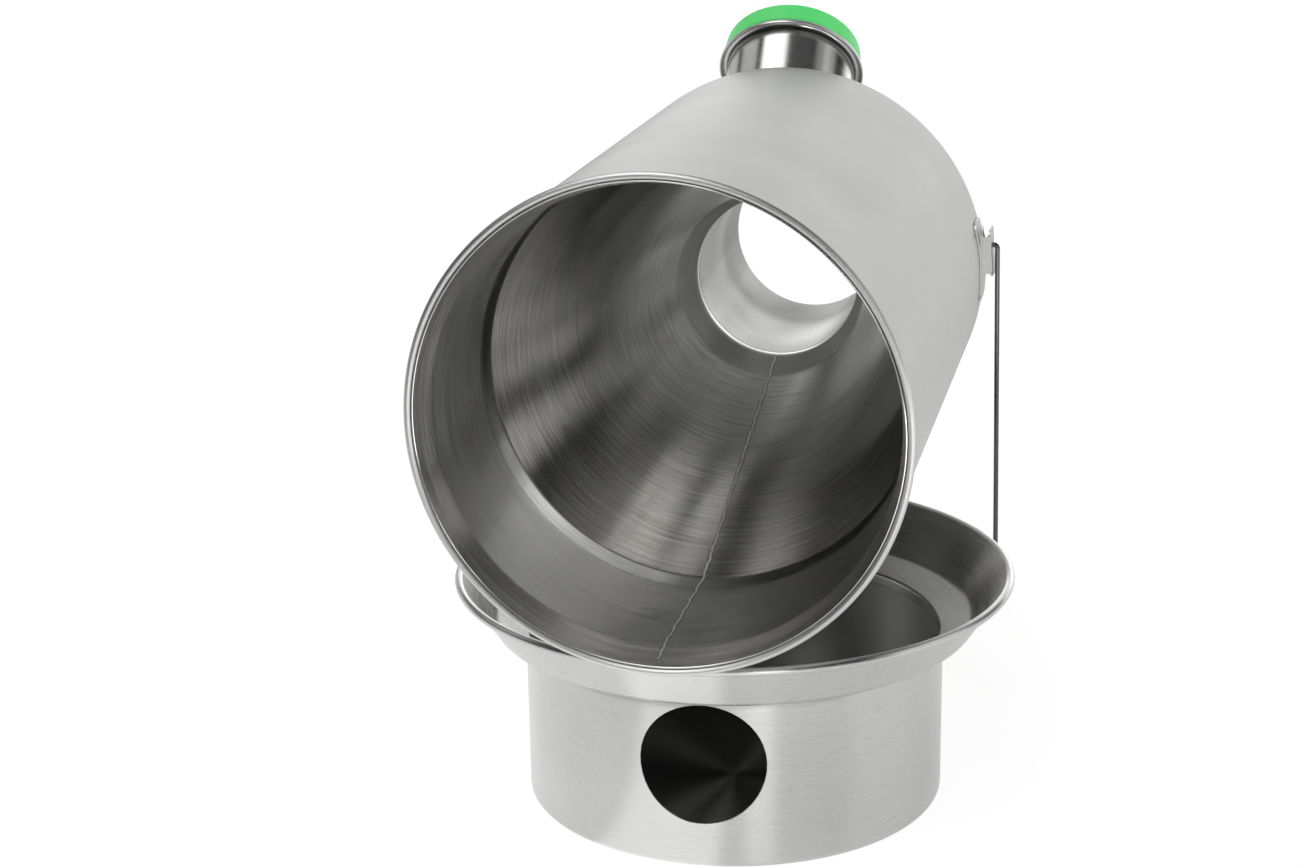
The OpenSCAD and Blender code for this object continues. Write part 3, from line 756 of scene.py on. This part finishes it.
class OpenSpin:
    """An outline turned about z, with a window left open in both its sides for a hole."""

    def __init__(self, outline, place, columns, start, scale_r, middle, half, sides, closed=True):
        """The window runs from each side's first row to its last, and half columns each way from
        the azimuth middle, in radians."""
        self.skin, self.outline, self.place = Skin(), outline, place
        self.start, self.scale_r, self.middle = math.radians(start), scale_r, middle
        step = TAU/columns
        centre = round(((middle - self.start) % TAU)/step)
        self.columns = centre - half, centre + half
        keep = np.ones((len(outline), columns), bool)
        for rows in sides:
            keep[slice(*rows), slice(*self.columns)] = False
        self.grid = add_spun(self.skin, outline, place, columns, start, closed, scale_r, keep)
        away = self.start + step*np.arange(columns) - middle
        self.away = away - TAU*np.round(away/TAU)

    def add_rings(self, rows, run, centre, flat_r, curve):
        """Fills the window in one side with rings that run from its edge to the hole's edge. Flat
        places count round the window at radius flat_r, and along run from the hole's centre, which
        lies that far past the side's first row. curve gives the flat place of the hole's edge at
        each angle. Returns the numbers and the angles of the hole's edge points."""
        (r0, r1), (c0, c1) = rows, self.columns
        loop = [*[(r0, c) for c in range(c0, c1)], *[(r, c1) for r in range(r0, r1)],
                *[(r1, c) for c in range(c1, c0, -1)], *[(r, c0) for r in range(r1, r0, -1)]]
        i, j = np.array(loop).T
        first, v0 = self.outline[r0], lengths(self.outline, False)[r0]
        edge = np.stack([self.away[j]*flat_r, (self.outline[i] - first) @ run - centre], -1)
        angle = np.arctan2(edge[:, 1], edge[:, 0])
        inner = curve(angle)

        def uv_at(flat):
            a = (self.middle + flat[:, 0]/flat_r - self.start) % TAU
            return np.stack([a*self.scale_r*MM, v0 + (flat[:, 1] + centre)*MM], -1)

        ids, uv = self.grid[i, j], uv_at(edge)
        for t in (np.arange(1, HOLE_RINGS + 1)/HOLE_RINGS)**0.8:
            flat = edge*(1 - t) + inner*t
            r, z = (first + (flat[:, 1:] + centre)*run).T
            next_ids = self.skin.add_points(self.place(on_axis(r, z, self.middle + flat[:, 0]/flat_r)))
            next_uv = uv_at(flat)
            self.skin.add_faces(between(ids, next_ids), between(uv, next_uv))
            ids, uv = next_ids, next_uv
        return ids, angle


def nearest(angles, wanted):
    """The number of the nearest of the angles, in radians, to each wanted one."""
    return np.abs(np.angle(np.exp(1j*(angles - wanted[:, None])))).argmin(1)


# Fire base

def drum_path():
    """Floor, rounded corner and wall of the drum, at mid-sheet."""
    r = DRUM_R - BASE_SHEET/2
    low = BASE_SHEET/2
    top = DRUM_H - BASE_SHEET/2
    corner = bend((0, low), (r, low), (r, top), DRUM_CORNER_R, 16)
    return filled(joined((0, low), corner, (r, top)), 4.0)


def make_drum():
    """The drum: its profile turned about z, with the air hole let into both sides of the sheet."""
    path = drum_path()
    left, right = shifted(path, BASE_SHEET/2), shifted(path, -BASE_SHEET/2)
    left[0, 0] = right[0, 0] = 0
    rim = arc(path[-1], BASE_SHEET/2, 0, 180, 6)[1:-1]
    outline = np.vstack([right, rim, left[::-1]])
    columns = 288
    half = math.ceil((AIR_HOLE_R + 4)/DRUM_R/(TAU/columns))
    low, high, last = int(np.argmax(path[:, 1] > DRUM_CORNER_R + 0.8)), len(path) - 1, len(outline) - 1
    sides = ((low, high), (last - high, last - low))
    drum = OpenSpin(outline, in_base, columns, 90.0, DRUM_R, math.radians(-90 + AIR_HOLE_TURN), half,
                    sides, closed=False)

    def punched(rows, sign):
        """One side of the sheet with its hole. The sign is 1 where its rows run upwards."""
        r, z = outline[rows[0]]

        def curve(angle, hole_r=AIR_HOLE_R + 0.1):
            x = r*np.arcsin(np.clip(hole_r*np.cos(angle)/r, -1, 1))
            return np.stack([x, hole_r*np.sin(angle)], -1)

        return *drum.add_rings(rows, np.array([0, sign]), sign*(AIR_HOLE_H - z), r, curve), r

    (outer, angle, r_out), (inner, angle_in, r_in) = punched(sides[0], 1.0), punched(sides[1], -1.0)
    rings = [outer]
    for r in (r_out - PUNCHED_EDGE, r_in + PUNCHED_EDGE):
        x = AIR_HOLE_R*np.cos(angle)
        x, y = rotated(x, -np.sqrt(r**2 - x**2), AIR_HOLE_TURN)
        rings.append(drum.skin.add_points(xyz(x, y, AIR_HOLE_H + AIR_HOLE_R*np.sin(angle))))
    rings.append(inner[nearest(angle_in, -angle)])
    uvs = np.zeros((len(angle), 4, 2)) + np.arange(len(angle))[:, None, None]*0.0005
    for a, b in zip(rings[:-1], rings[1:]):
        drum.skin.add_faces(between(a, b), uvs)
    make("drum_skin", drum.skin, drum_steel, "fire_base", "fire_drum")


def collar_path():
    """Spigot, ledge, flared wall and rolled lip of the collar, at mid-sheet."""
    spigot_r = DRUM_R - BASE_SHEET*1.5 - FIT
    foot_z = DRUM_H + BASE_SHEET/2 + FIT
    foot = np.array([spigot_r, DRUM_H - SPIGOT_LEN + BASE_SHEET/2])
    inner = np.array([spigot_r, foot_z])
    outer = np.array([LEDGE_R, foot_z + LEDGE_RISE])
    roll = np.array([LIP_R - BASE_SHEET/2 - LIP_ROLL_R, BASE_H - BASE_SHEET/2 - LIP_ROLL_R])
    d = outer - roll
    start = math.degrees(math.atan2(d[1], d[0]) - math.acos(LIP_ROLL_R/np.linalg.norm(d))) + 360
    lip = arc(roll, LIP_ROLL_R, start, -95, 32)
    return filled(joined(foot, bend(foot, inner, outer, 1.0, 8),
                         bend(inner, outer, lip[0], LEDGE_BEND_R, 12), lip), 2.5)


def make_collar():
    """The collar: its profile turned about z. Behind the air hole the spigot's edge follows it."""
    middle = math.radians(-90 + AIR_HOLE_TURN)
    foot, top = DRUM_H - SPIGOT_LEN, DRUM_H - 0.6

    def notch(p):
        x, y, z = axes(p)
        away = (np.arctan2(y, x) - middle + math.pi) % TAU - math.pi
        r = np.hypot(x, y)
        aside = r*np.sin(np.clip(away, -1, 1))
        rise = AIR_HOLE_H + np.sqrt(np.maximum(AIR_HOLE_R**2 - aside**2, 0)) - foot
        rise = np.clip(rise, 0, top - foot - 0.1)
        lifted = top - (top - z)*(top - foot - rise)/(top - foot)
        return xyz(x, y, np.where((z < top) & (r < DRUM_R), lifted, z))

    skin = Skin()
    add_spun(skin, sheet_outline(collar_path(), BASE_SHEET), in_base, 320, 262.0, scale_r=80.0, shape=notch)
    make("collar_skin", skin, base_steel, "fire_base", "fire_collar")


# Kettle

def make_shell():
    """Outer shell: a straight cylinder flared into a rolled bead at the rim."""
    top = (SHELL_MID, JOINT_Z)
    bead = arc(BEAD_CENTRE, BEAD_ROLL_R, BEAD_START, 452, 26)
    path = filled(joined(top, bend(top, (SHELL_MID, BEAD_FLARE_Z), bead[0], 6.0, 8), bead), 6.0)
    skin = Skin()
    add_spun(skin, sheet_outline(path, SHEET, False), in_kettle, 288, SEAM_AZIMUTH)
    make("shell_skin", skin, shell_steel, "kettle", "outer_shell")


def cone_height(x, y, offset):
    """How far along the spout's axis the line through (x, y), parallel to that axis, meets the
    shoulder's cone, moved out by offset from mid-sheet. Found by Newton's method."""
    c, s, k = math.cos(TILT), math.sin(TILT), math.tan(TILT)
    level = SHOULDER_Z + SHELL_MID*k + offset/c
    h = np.zeros_like(x)
    for _ in range(6):
        aside, up = rotated(y, h, -SPOUT_TILT)
        aside, up = aside + SPOUT_OFFSET, up + SPOUT_FOOT_Z
        r = np.hypot(x, aside)
        h = h - (up + r*k - level)/(c + aside*s/r*k)
    return h


def make_shoulder():
    """Shoulder: cone with a rounded edge and a turned-up collar, open under the spout."""
    corner, neck = np.array([SHELL_MID, SHOULDER_Z]), np.array([COLLAR_MID, COLLAR_Z])
    foot, top = (SHELL_MID, JOINT_Z), (COLLAR_MID, COLLAR_Z + FLUE_COLLAR_H)
    edge = bend(foot, corner, neck, SHOULDER_BEND_R, 14)
    crease = bend(corner, neck, top, 1.2, 6)
    path = filled(joined(foot, edge, crease, top), 3.0)
    outline = sheet_outline(path, SHEET, False)
    low, high = (int(np.argmin(np.linalg.norm(path - end, axis=1))) for end in (edge[-1], crease[0]))
    # the outline holds the inside of the path first, then the outside backwards
    last = len(outline) - 1
    sides = ((low, high), (last - high, last - low))
    columns = 288
    half = round(math.radians(42)/(TAU/columns))
    shoulder = OpenSpin(outline, in_kettle, columns, SEAM_AZIMUTH, SHELL_R, math.radians(90.0), half, sides)

    def opened(rows, sign):
        """One side of the sheet with the spout's opening. The sign is 1 inside, where its rows run
        up the cone."""
        r = outline[rows[0], 0]
        run = sign*np.array([-math.cos(TILT), math.sin(TILT)])
        centre = (SPOUT_OFFSET - r)/run[0]

        def curve(angle):
            x, y = SPOUT_BORE_R*np.cos(angle), -sign*SPOUT_BORE_R*np.sin(angle)
            h = cone_height(x, y, -sign*SHEET/2)
            y, _ = rotated(y, h, -SPOUT_TILT)
            y = y + SPOUT_OFFSET
            return np.stack([np.arctan2(x, y)*SPOUT_OFFSET, (np.hypot(x, y) - r)/run[0] - centre], -1)

        return shoulder.add_rings(rows, run, centre, SPOUT_OFFSET, curve)

    (inside, angle_in), (outside, angle_out) = opened(sides[0], 1.0), opened(sides[1], -1.0)
    rim = between(inside, outside[nearest(angle_out, -angle_in)])
    shoulder.skin.add_faces(rim, np.zeros((len(rim), 4, 2)))
    make("shoulder_skin", shoulder.skin, shell_steel, "kettle", "shoulder")


def chamber_path():
    """Mouth, skirt, cone and neck of the fire chamber, at mid-sheet, from the rim inwards."""
    mid = CHAMBER_R + SHEET/2
    mouth = (BEAD_CENTRE[0] - BEAD_ROLL_R - SHEET - MOUTH_GAP, MOUTH_Z)
    turn = (SHELL_R - SHEET*1.5 - FLARE_GAP, BEAD_FLARE_Z + 0.2)
    foot = (mid + SKIRT_SPREAD, SKIRT_FOOT_Z)
    top = (mid, CONE_Z)
    neck = (FLUE_MID, NECK_Z)
    end = (FLUE_MID, NECK_Z + NECK_LEN - SHEET/2)
    return filled(joined(mouth, bend(mouth, turn, foot, 3.0, 8), bend(turn, foot, top, 8.0, 8),
                         bend(foot, top, neck, 10.0, 14), bend(top, neck, end, 6.0, 12), end), 6.0)


def make_chamber():
    """Fire chamber: one sheet turned about the kettle's axis."""
    skin = Skin()
    add_spun(skin, sheet_outline(chamber_path(), SHEET), in_kettle, 320, SEAM_AZIMUTH, scale_r=CHAMBER_R)
    make("chamber_skin", skin, chamber_steel, "kettle", "fire_chamber")


def make_flue():
    """Flue tube with a rolled top edge."""
    roll = (FLUE_MID + FLUE_ROLL_R, FLUE_TOP_Z - SHEET/2 - FLUE_ROLL_R)
    path = filled(joined((FLUE_MID, NECK_Z + NECK_LEN + SHEET/2), arc(roll, FLUE_ROLL_R, 180, -84, 24)), 5.0)
    skin = Skin()
    add_spun(skin, sheet_outline(path, SHEET), in_kettle, 192, SEAM_AZIMUTH)
    make("flue_skin", skin, flue_steel, "kettle", "flue_tube")


def make_seam(name, path, width, proud, sign, node, seed):
    """A longitudinal weld: a low strip carried along a profile, whose edges wander a little. The
    wandering is a sum of sines, and the strip's middle stands proud. The sign is 1 where the strip
    lies to the left of the profile and -1 to its right."""
    sunk = 0.15
    normal = normals(path)*sign
    s = lengths(path, False)[:, None]/MM
    wander = 0.16*np.sin(s*0.55 + seed) + 0.12*np.sin(s*1.37 + 2*seed) + 0.07*np.sin(s*3.1 + seed)
    breadth = width/2*(1 + 0.10*np.sin(s*2.3 + 3*seed) + 0.08*np.sin(s*4.7))
    w = np.linspace(-1, 1, 13)
    rise = np.where(np.abs(w) > 0.99, -0.12, proud*(1 - 0.55*np.abs(w)**3) + 0.02*np.cos(w*9))
    ripple = 1 + 0.25*np.sin(s*6.3 + seed)*np.cos(w*1.5)
    lift = np.where(rise < 0, rise, rise*ripple)
    a = math.radians(SEAM_AZIMUTH) + (wander + breadth*w)/path[:, :1]
    top, under = (on_axis(path[:, :1] + normal[:, :1]*out, path[:, 1:] + normal[:, 1:]*out, a)
                  for out in (lift, -sunk))
    u = np.concatenate([np.linspace(0, 1, len(w)), np.linspace(1, 0, len(w)), [0.0]])
    skin = Skin()
    skin.add_grid(in_kettle(np.concatenate([top, under[:, ::-1]], 1)), uv_grid(u, s[:, 0]*MM), closed=False)
    make(name, skin, seam_steel, "kettle", node, sharp=60)


def make_seams():
    """The longitudinal welds: inside the chamber and under the shell."""
    inner = shifted(chamber_path(), SHEET/2)
    inner = inner[(inner[:, 1] > 2.5) & (inner[:, 1] < NECK_Z - 0.5)]
    cut = [inner[0]]
    for p, q in zip(inner[:-1], inner[1:]):
        count = max(1, math.ceil(np.linalg.norm(q - p)/0.5))
        cut.extend(p + (q - p)*k/count for k in range(1, count + 1))
    make_seam("chamber_seam_bead", np.array(cut), 1.3, 0.14, 1.0, "chamber_seam", 0.7)
    z = np.arange(BEAD_FLARE_Z + 3, JOINT_Z - 0.5, 0.6)
    outer = np.column_stack([np.full_like(z, SHELL_R), z])
    make_seam("shell_seam_bead", outer, 1.2, 0.10, -1.0, "shell_seam", 2.1)


def make_spout():
    """Spout: a neck cut to the shoulder's cone at its foot and rolled over at its lip."""
    roll = (SPOUT_MID + SPOUT_ROLL_R, SPOUT_H - SPOUT_SHEET/2 - SPOUT_ROLL_R)
    neck = filled(joined((SPOUT_MID, SPOUT_CUT_TOP), arc(roll, SPOUT_ROLL_R, 180, 0, 20),
                         (roll[0] + SPOUT_ROLL_R, SPOUT_H - SPOUT_LIP_H + SPOUT_SHEET/2)), 3.0)
    rows = 6
    stub = np.linspace(SPOUT_CUT_FOOT, SPOUT_CUT_TOP, rows + 1)[:-1]
    path = joined(np.column_stack([np.full(rows, SPOUT_MID), stub]), neck)

    def cut(p):
        x, y, z = axes(p)
        h = cone_height(x, y, SHEET/2 + FIT)
        t = (SPOUT_CUT_TOP - z)/(SPOUT_CUT_TOP - SPOUT_CUT_FOOT)
        lowered = SPOUT_CUT_TOP + (h - SPOUT_CUT_TOP)*t
        return xyz(x, y, np.where(z < SPOUT_CUT_TOP, lowered, z))

    skin = Skin()
    add_spun(skin, sheet_outline(path, SPOUT_SHEET, False), in_spout, 192, -90.0, shape=cut)
    make("spout_skin", skin, spout_steel, "kettle", "spout")


def make_spout_weld():
    """Fillet weld round the spout's foot: a hollow-faced ring on the line where neck and cone meet,
    with the fine ripple of a hand-held torch."""
    columns = 384
    a = TAU*np.arange(columns)/columns
    ripple = 1 + 0.10*np.sin(a*70) + 0.05*np.sin(a*23 + 1)
    fillet = ((-0.2, 0.9), (0.02, 0.85), (0.16, 0.42), (0.42, 0.16), (0.85, 0.04), (0.9, -0.15),
              (-0.2, -0.15))
    rows = []
    for out, up in fillet:
        x, y = (SPOUT_R + out*ripple)*np.array([np.cos(a), np.sin(a)])
        rows.append(xyz(x, y, cone_height(x, y, SHEET/2) + up*ripple))
    skin = Skin()
    uv = uv_grid(np.linspace(0, 0.15, columns + 1), np.linspace(0, 0.003, len(fillet) + 1))
    skin.add_grid(in_spout(np.array(rows)), uv)
    make("spout_weld_bead", skin, weld_steel, "kettle", "spout_weld", sharp=50)


def make_flue_weld():
    """Weld ring where the shoulder's collar closes on the flue, rippled round its length."""
    z0 = COLLAR_Z + FLUE_COLLAR_H
    r0 = FLUE_R + SHEET + 0.03
    outline = np.array([(r0, z0 - 0.05), (COLLAR_MID + SHEET/2 + 0.05, z0 - 0.05),
                        (COLLAR_MID + 0.25, z0 + 0.35), (r0 + 0.45, z0 + 0.75), (r0, z0 + 1.05)])

    def ripple(p):
        x, y, z = axes(p)
        swell = 1 + 0.0022*np.sin(np.arctan2(y, x)*95)*(z > z0 + 0.1)
        return xyz(x*swell, y*swell, z)

    skin = Skin()
    add_spun(skin, outline, in_kettle, 384, SEAM_AZIMUTH, shape=ripple)
    make("flue_weld_bead", skin, weld_steel, "kettle", "flue_weld", sharp=50)


# Stopper

def make_stopper():
    """Silicone stopper: head, ribbed plug and stepped bore, in one turned outline."""
    foot, top = HEAD_Z - PLUG_LEN, HEAD_Z + HEAD_H

    def plug_r(z):
        return PLUG_R - 2.2 + 1.3*(z - foot)/PLUG_LEN

    side = [(plug_r(foot), foot)]
    for i in range(3):
        r, z = PLUG_R - 1.8, foot + PLUG_LEN*(i + 0.9)/RIB_PITCH
        half = math.sqrt(max(RIB_R**2 - (plug_r(z) - r)**2, 0.1))
        rib = arc((r, z), RIB_R, -58, 58, 8)[1:-1]
        side += [(plug_r(z - half), z - half), *rib, (plug_r(z + half), z + half)]
    side.append((plug_r(HEAD_Z), HEAD_Z))
    head = rounded([side[-1], (HEAD_R, HEAD_Z), (HEAD_TOP_R + FIT, top), (STEAM_HOLE_R, top)],
                   [0, 0.8, 1.5, 0.3], 8)[1:]
    low, high = WHISTLE_ROOM
    bore = [(STEAM_HOLE_R, foot + high), (WHISTLE_R, foot + high), (WHISTLE_R, foot + low),
            (WHISTLE_R + BORE_STEP, foot + low), (WHISTLE_R + BORE_STEP, foot)]
    skin = Skin()
    add_spun(skin, filled_loop(joined(*side, head, *bore), 3.0), in_spout, 192, 90.0)
    make("stopper_skin", skin, green, "stopper", "stopper", sharp=50)


def make_loop():
    """Wire loop: two legs and half a circle, leaning to the right."""
    top = LOOP_H - LOOP_WIRE_R - LOOP_R
    a = np.linspace(0, math.pi, 25)
    bow = xyz(LOOP_R*np.cos(a), 0*a, top + LOOP_R*np.sin(a))
    legs = np.linspace(FIT - LOOP_SEAT, top, 8)[:-1]
    right = xyz(LOOP_R + 0*legs, 0*legs, legs)
    left = right[::-1]*np.array([-1, 1, 1])
    skin = Skin()
    add_tube(skin, np.vstack([right, bow, left]), LOOP_WIRE_R, 20, in_loop)
    make("loop_wire", skin, wire_steel, "stopper", "stopper_loop")


# Bail

def bail_line():
    """Centre line of the bail, from one headed end to the other, in the bail's own frame."""
    hook_run = HOOK_R*math.tan(math.radians(90 + BAIL_LEAN)/2)
    arm_x = EAR_OUT + HOOK_LEAD + hook_run
    bar_x = arm_x - BAIL_REACH*math.tan(math.radians(BAIL_LEAN))
    start, corner = (EAR_IN - WIRE_END, 0.0), (arm_x, 0.0)
    low, middle = (bar_x, -BAIL_REACH), (0, -BAIL_REACH)
    half = filled(joined(start, bend(start, corner, low, HOOK_R, 16),
                         bend(corner, low, middle, BAIL_CORNER_R, 20), middle), 8.0)
    line = np.vstack([half, half[-2::-1]*np.array([-1, 1])])
    return np.column_stack([line, np.zeros(len(line))])


def make_bail():
    """Bail wire with a flattened head inside each ear."""
    skin = Skin()
    add_tube(skin, bail_line(), WIRE_R, 24, in_bail)
    near, far = (EAR_IN - gap for gap in WIRE_HEAD)
    head = rounded([(0, far), (WIRE_HEAD_R, far), (WIRE_HEAD_R, near), (0, near)], [0, 0.5, 0.2, 0], 4)
    for side in (1, -1):
        def place(p, side=side):
            x, y, z = axes(p)
            return in_bail(xyz(side*z, x, y*side))
        add_spun(skin, head, place, 32, scale_r=2.0)
    make("bail_skin", skin, wire_steel, "bail", "bail_wire")


def make_grip():
    """Turned grip: a barrel whose radius falls off with the square of the way from its middle,
    with softened ends and a bore for the wire."""
    half = GRIP_LEN/2
    run = half - GRIP_ROUND
    x = np.linspace(run, -run, 49)
    barrel = np.column_stack([GRIP_R - (GRIP_R - GRIP_END_R)*(x/run)**2, x])
    bore, bevel = WIRE_R + GRIP_BORE_GAP, 0.4
    ends = joined((bore, half - bevel), (bore + bevel, half),
                  arc((GRIP_END_R - GRIP_ROUND, run), GRIP_ROUND, 90, 8, 8))
    outline = np.vstack([ends, barrel, ends[::-1]*np.array([1, -1])])

    def place(p):
        x, y, z = axes(p)
        return in_bail(xyz(z, x - BAIL_REACH, y))

    skin = Skin()
    add_spun(skin, filled_loop(outline, 6.0), place, 96)
    make("grip_skin", skin, beech, "grip", "grip")


def dress_nodes():
    """Materials of the frame's own nodes that keep their shape."""
    looks = {"bracket_right": pressed_steel, "bracket_left": pressed_steel, "spot_welds": weld_steel,
             "rim_weld": weld_steel, "neck_weld": weld_steel, "whistle_capsule": pressed_steel}
    for name, material in looks.items():
        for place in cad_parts[name].material_slots:
            place.link = "OBJECT"
            place.material = material


# Setting: camera, floor and light

def make_camera():
    """The photograph's view: a turn about z, a tilt down and a slight roll."""
    data = bpy.data.cameras.new("camera")
    data.sensor_width = 36.0
    data.sensor_fit = "HORIZONTAL"
    data.lens = CAMERA_LENS
    data.clip_start = 0.01
    data.clip_end = 60.0
    camera = linked("camera", data)
    turn, tilt, roll = (Matrix.Rotation(angle, 4, axis) for angle, axis in
                        ((CAMERA_YAW, "Z"), (math.pi/2 - CAMERA_PITCH, "X"), (CAMERA_ROLL, "Z")))
    camera.matrix_world = Matrix.Translation(CAMERA_AT) @ turn @ tilt @ roll
    bpy.context.scene.camera = camera


def camera_mix(tree, seen, reflected):
    """A value that is one number to the camera and another, a number or a socket, to all other rays."""
    is_camera = outputs(tree, "LightPath")["Is Camera Ray"]
    return outputs(tree, "Mix", {0: is_camera, 2: reflected, 3: seen}, data_type="FLOAT")[0]


# The floor's own glow: as the camera sees it, near the object on the left and on the right, where the
# large box lights it, on the reflector laid in front on the right, and far out on the right. Beyond
# these the steel sees it dark in front.
FLOOR_SEEN = 0.90
FLOOR_LEFT = 0.72
FLOOR_RIGHT = 0.56
FLOOR_LIT = 0.34
FLOOR_REFLECTOR = 3.2
FLOOR_OUT = 1.2

# Where each of them starts and ends, in metres along x and y, and the lit part's middle, half width
# and soft edge in degrees round from the front. Nearer than FRONT_Y the floor is dark, and past
# BEHIND_Y the near part's glow weakens to BEHIND_SHARE.
FLOOR_HALF = 12.0
FLOOR_Z = -0.00015
FRONT_Y = (-0.80, -0.74)
NEAR_Y = (-0.37, -0.33)
BEHIND_Y = (0.10, 0.40)
BEHIND_SHARE = 0.7
LEFT_RIGHT_X = (-0.02, 0.10)
LIT_Y = (-0.45, -0.35)
LIT_TURN = (12, 15, 6)
REFLECTOR_X = (-0.03, 0.05)
REFLECTOR_Y = (-0.38, -0.34)
OUT_X = (0.8, 2.5)


def make_floor():
    """A plain pale floor. It stays white to the camera, and its glow varies for what the steel reflects."""
    corners = [(x*FLOOR_HALF, y*FLOOR_HALF, FLOOR_Z) for x, y in ((-1, -1), (1, -1), (1, 1), (-1, 1))]
    mesh = bpy.data.meshes.new("floor")
    mesh.from_pydata(corners, [], [(0, 1, 2, 3)])
    floor = linked("floor", mesh)
    m, tree, shader = new_material("pale_floor")
    x, y, _ = split(tree, object_place(tree))
    base = camera_mix(tree, 0.22, ramped(tree, y, *FRONT_Y, 0.02, 0.50))
    near = times(tree, ramped(tree, y, *NEAR_Y, 0.0, 1.0),
                 ramped(tree, x, *LEFT_RIGHT_X, FLOOR_LEFT, FLOOR_RIGHT))
    near = times(tree, near, ramped(tree, y, *BEHIND_Y, 1.0, BEHIND_SHARE))
    turn = calc(tree, "ARCTAN2", times(tree, x, -1.0), times(tree, y, -1.0))
    lit = times(tree, band(tree, turn, *map(math.radians, LIT_TURN)), ramped(tree, y, *LIT_Y, 0.0, FLOOR_LIT))
    front = ramped(tree, y, *FRONT_Y, 0.0, 1.0)
    board = times(tree, times(tree, front, ramped(tree, y, *REFLECTOR_Y, 1.0, 0.0)),
                  ramped(tree, x, *REFLECTOR_X, 0.0, FLOOR_REFLECTOR))
    out = times(tree, front, ramped(tree, x, *OUT_X, 0.0, FLOOR_OUT))
    glow = plus(tree, plus(tree, near, lit), plus(tree, board, out))
    fill(tree, shader, {"Base Color": base, "Roughness": 0.9, "Specular IOR Level": 0.0,
                        "Emission Color": (1, 1, 1), "Emission Strength": camera_mix(tree, FLOOR_SEEN, glow)})
    mesh.materials.append(m)


# Soft panels of the studio as the object sees them, in degrees: azimuth of the middle from the right
# of the object round by its back, height of the middle, half the width, half the height, width of the
# soft edge, and brightness. All else is STUDIO_DARK.
STUDIO_DARK = 0.012
PANELS = {"backdrop_low": (86, 4, 26, 8, 8, 1.22),
          "backdrop_high": (94, 20, 21, 12, 10, 0.95),
          "backdrop_left": (139, 4, 12, 9, 7, 0.6),
          "right_fill": (8, 15, 18, 20, 10, 0.8),
          "right_low": (46, 3, 14, 5, 4, 0.35),
          "left_box": (160, 34, 14, 9, 6, 0.6),
          "back_high": (50, 38, 56, 10, 8, 0.28),
          "main_box": (249, 46, 22, 14, 7, 2.9),
          "strip_box": (294, 6, 6, 8, 3, 4.0),
          "top_box": (194, 72, 62, 15, 5, 1.9),
          "overhead": (0, 90, 180, 28, 12, 0.07)}


def panel(tree, direction, azimuth, height, half_width, half_height, soft):
    """1 inside a panel of the studio and 0 outside it: a smooth step in azimuth times one in height,
    all in radians."""
    x, y, z = split(tree, turned(tree, direction, -azimuth))
    return times(tree, band(tree, calc(tree, "ARCTAN2", y, x), 0.0, half_width, soft),
                 band(tree, calc(tree, "ARCSINE", z), height, half_height, soft))


def make_light():
    """A studio of soft panels round the object: a low white backdrop, a large box high in front on
    the left and weaker ones beside and above it. The camera sees plain white behind the object."""
    world = bpy.data.worlds.new("studio")
    bpy.context.scene.world = world
    world.use_nodes = True
    tree = world.node_tree
    direction = outputs(tree, "TexCoord")["Generated"]
    total = STUDIO_DARK
    for *shape, level in PANELS.values():
        total = plus(tree, times(tree, panel(tree, direction, *map(math.radians, shape)), level), total)
    fill(tree, tree.nodes["Background"], {"Color": (1, 1, 1), "Strength": camera_mix(tree, 1.0, total)})


for build in (make_camera, make_floor, make_light, make_drum, make_collar, make_shell, make_shoulder,
              make_chamber, make_flue, make_seams, make_spout, make_spout_weld, make_flue_weld, make_stopper,
              make_loop, make_bail, make_grip, dress_nodes):
    build()

bpy.context.scene.view_settings.view_transform = "Standard"
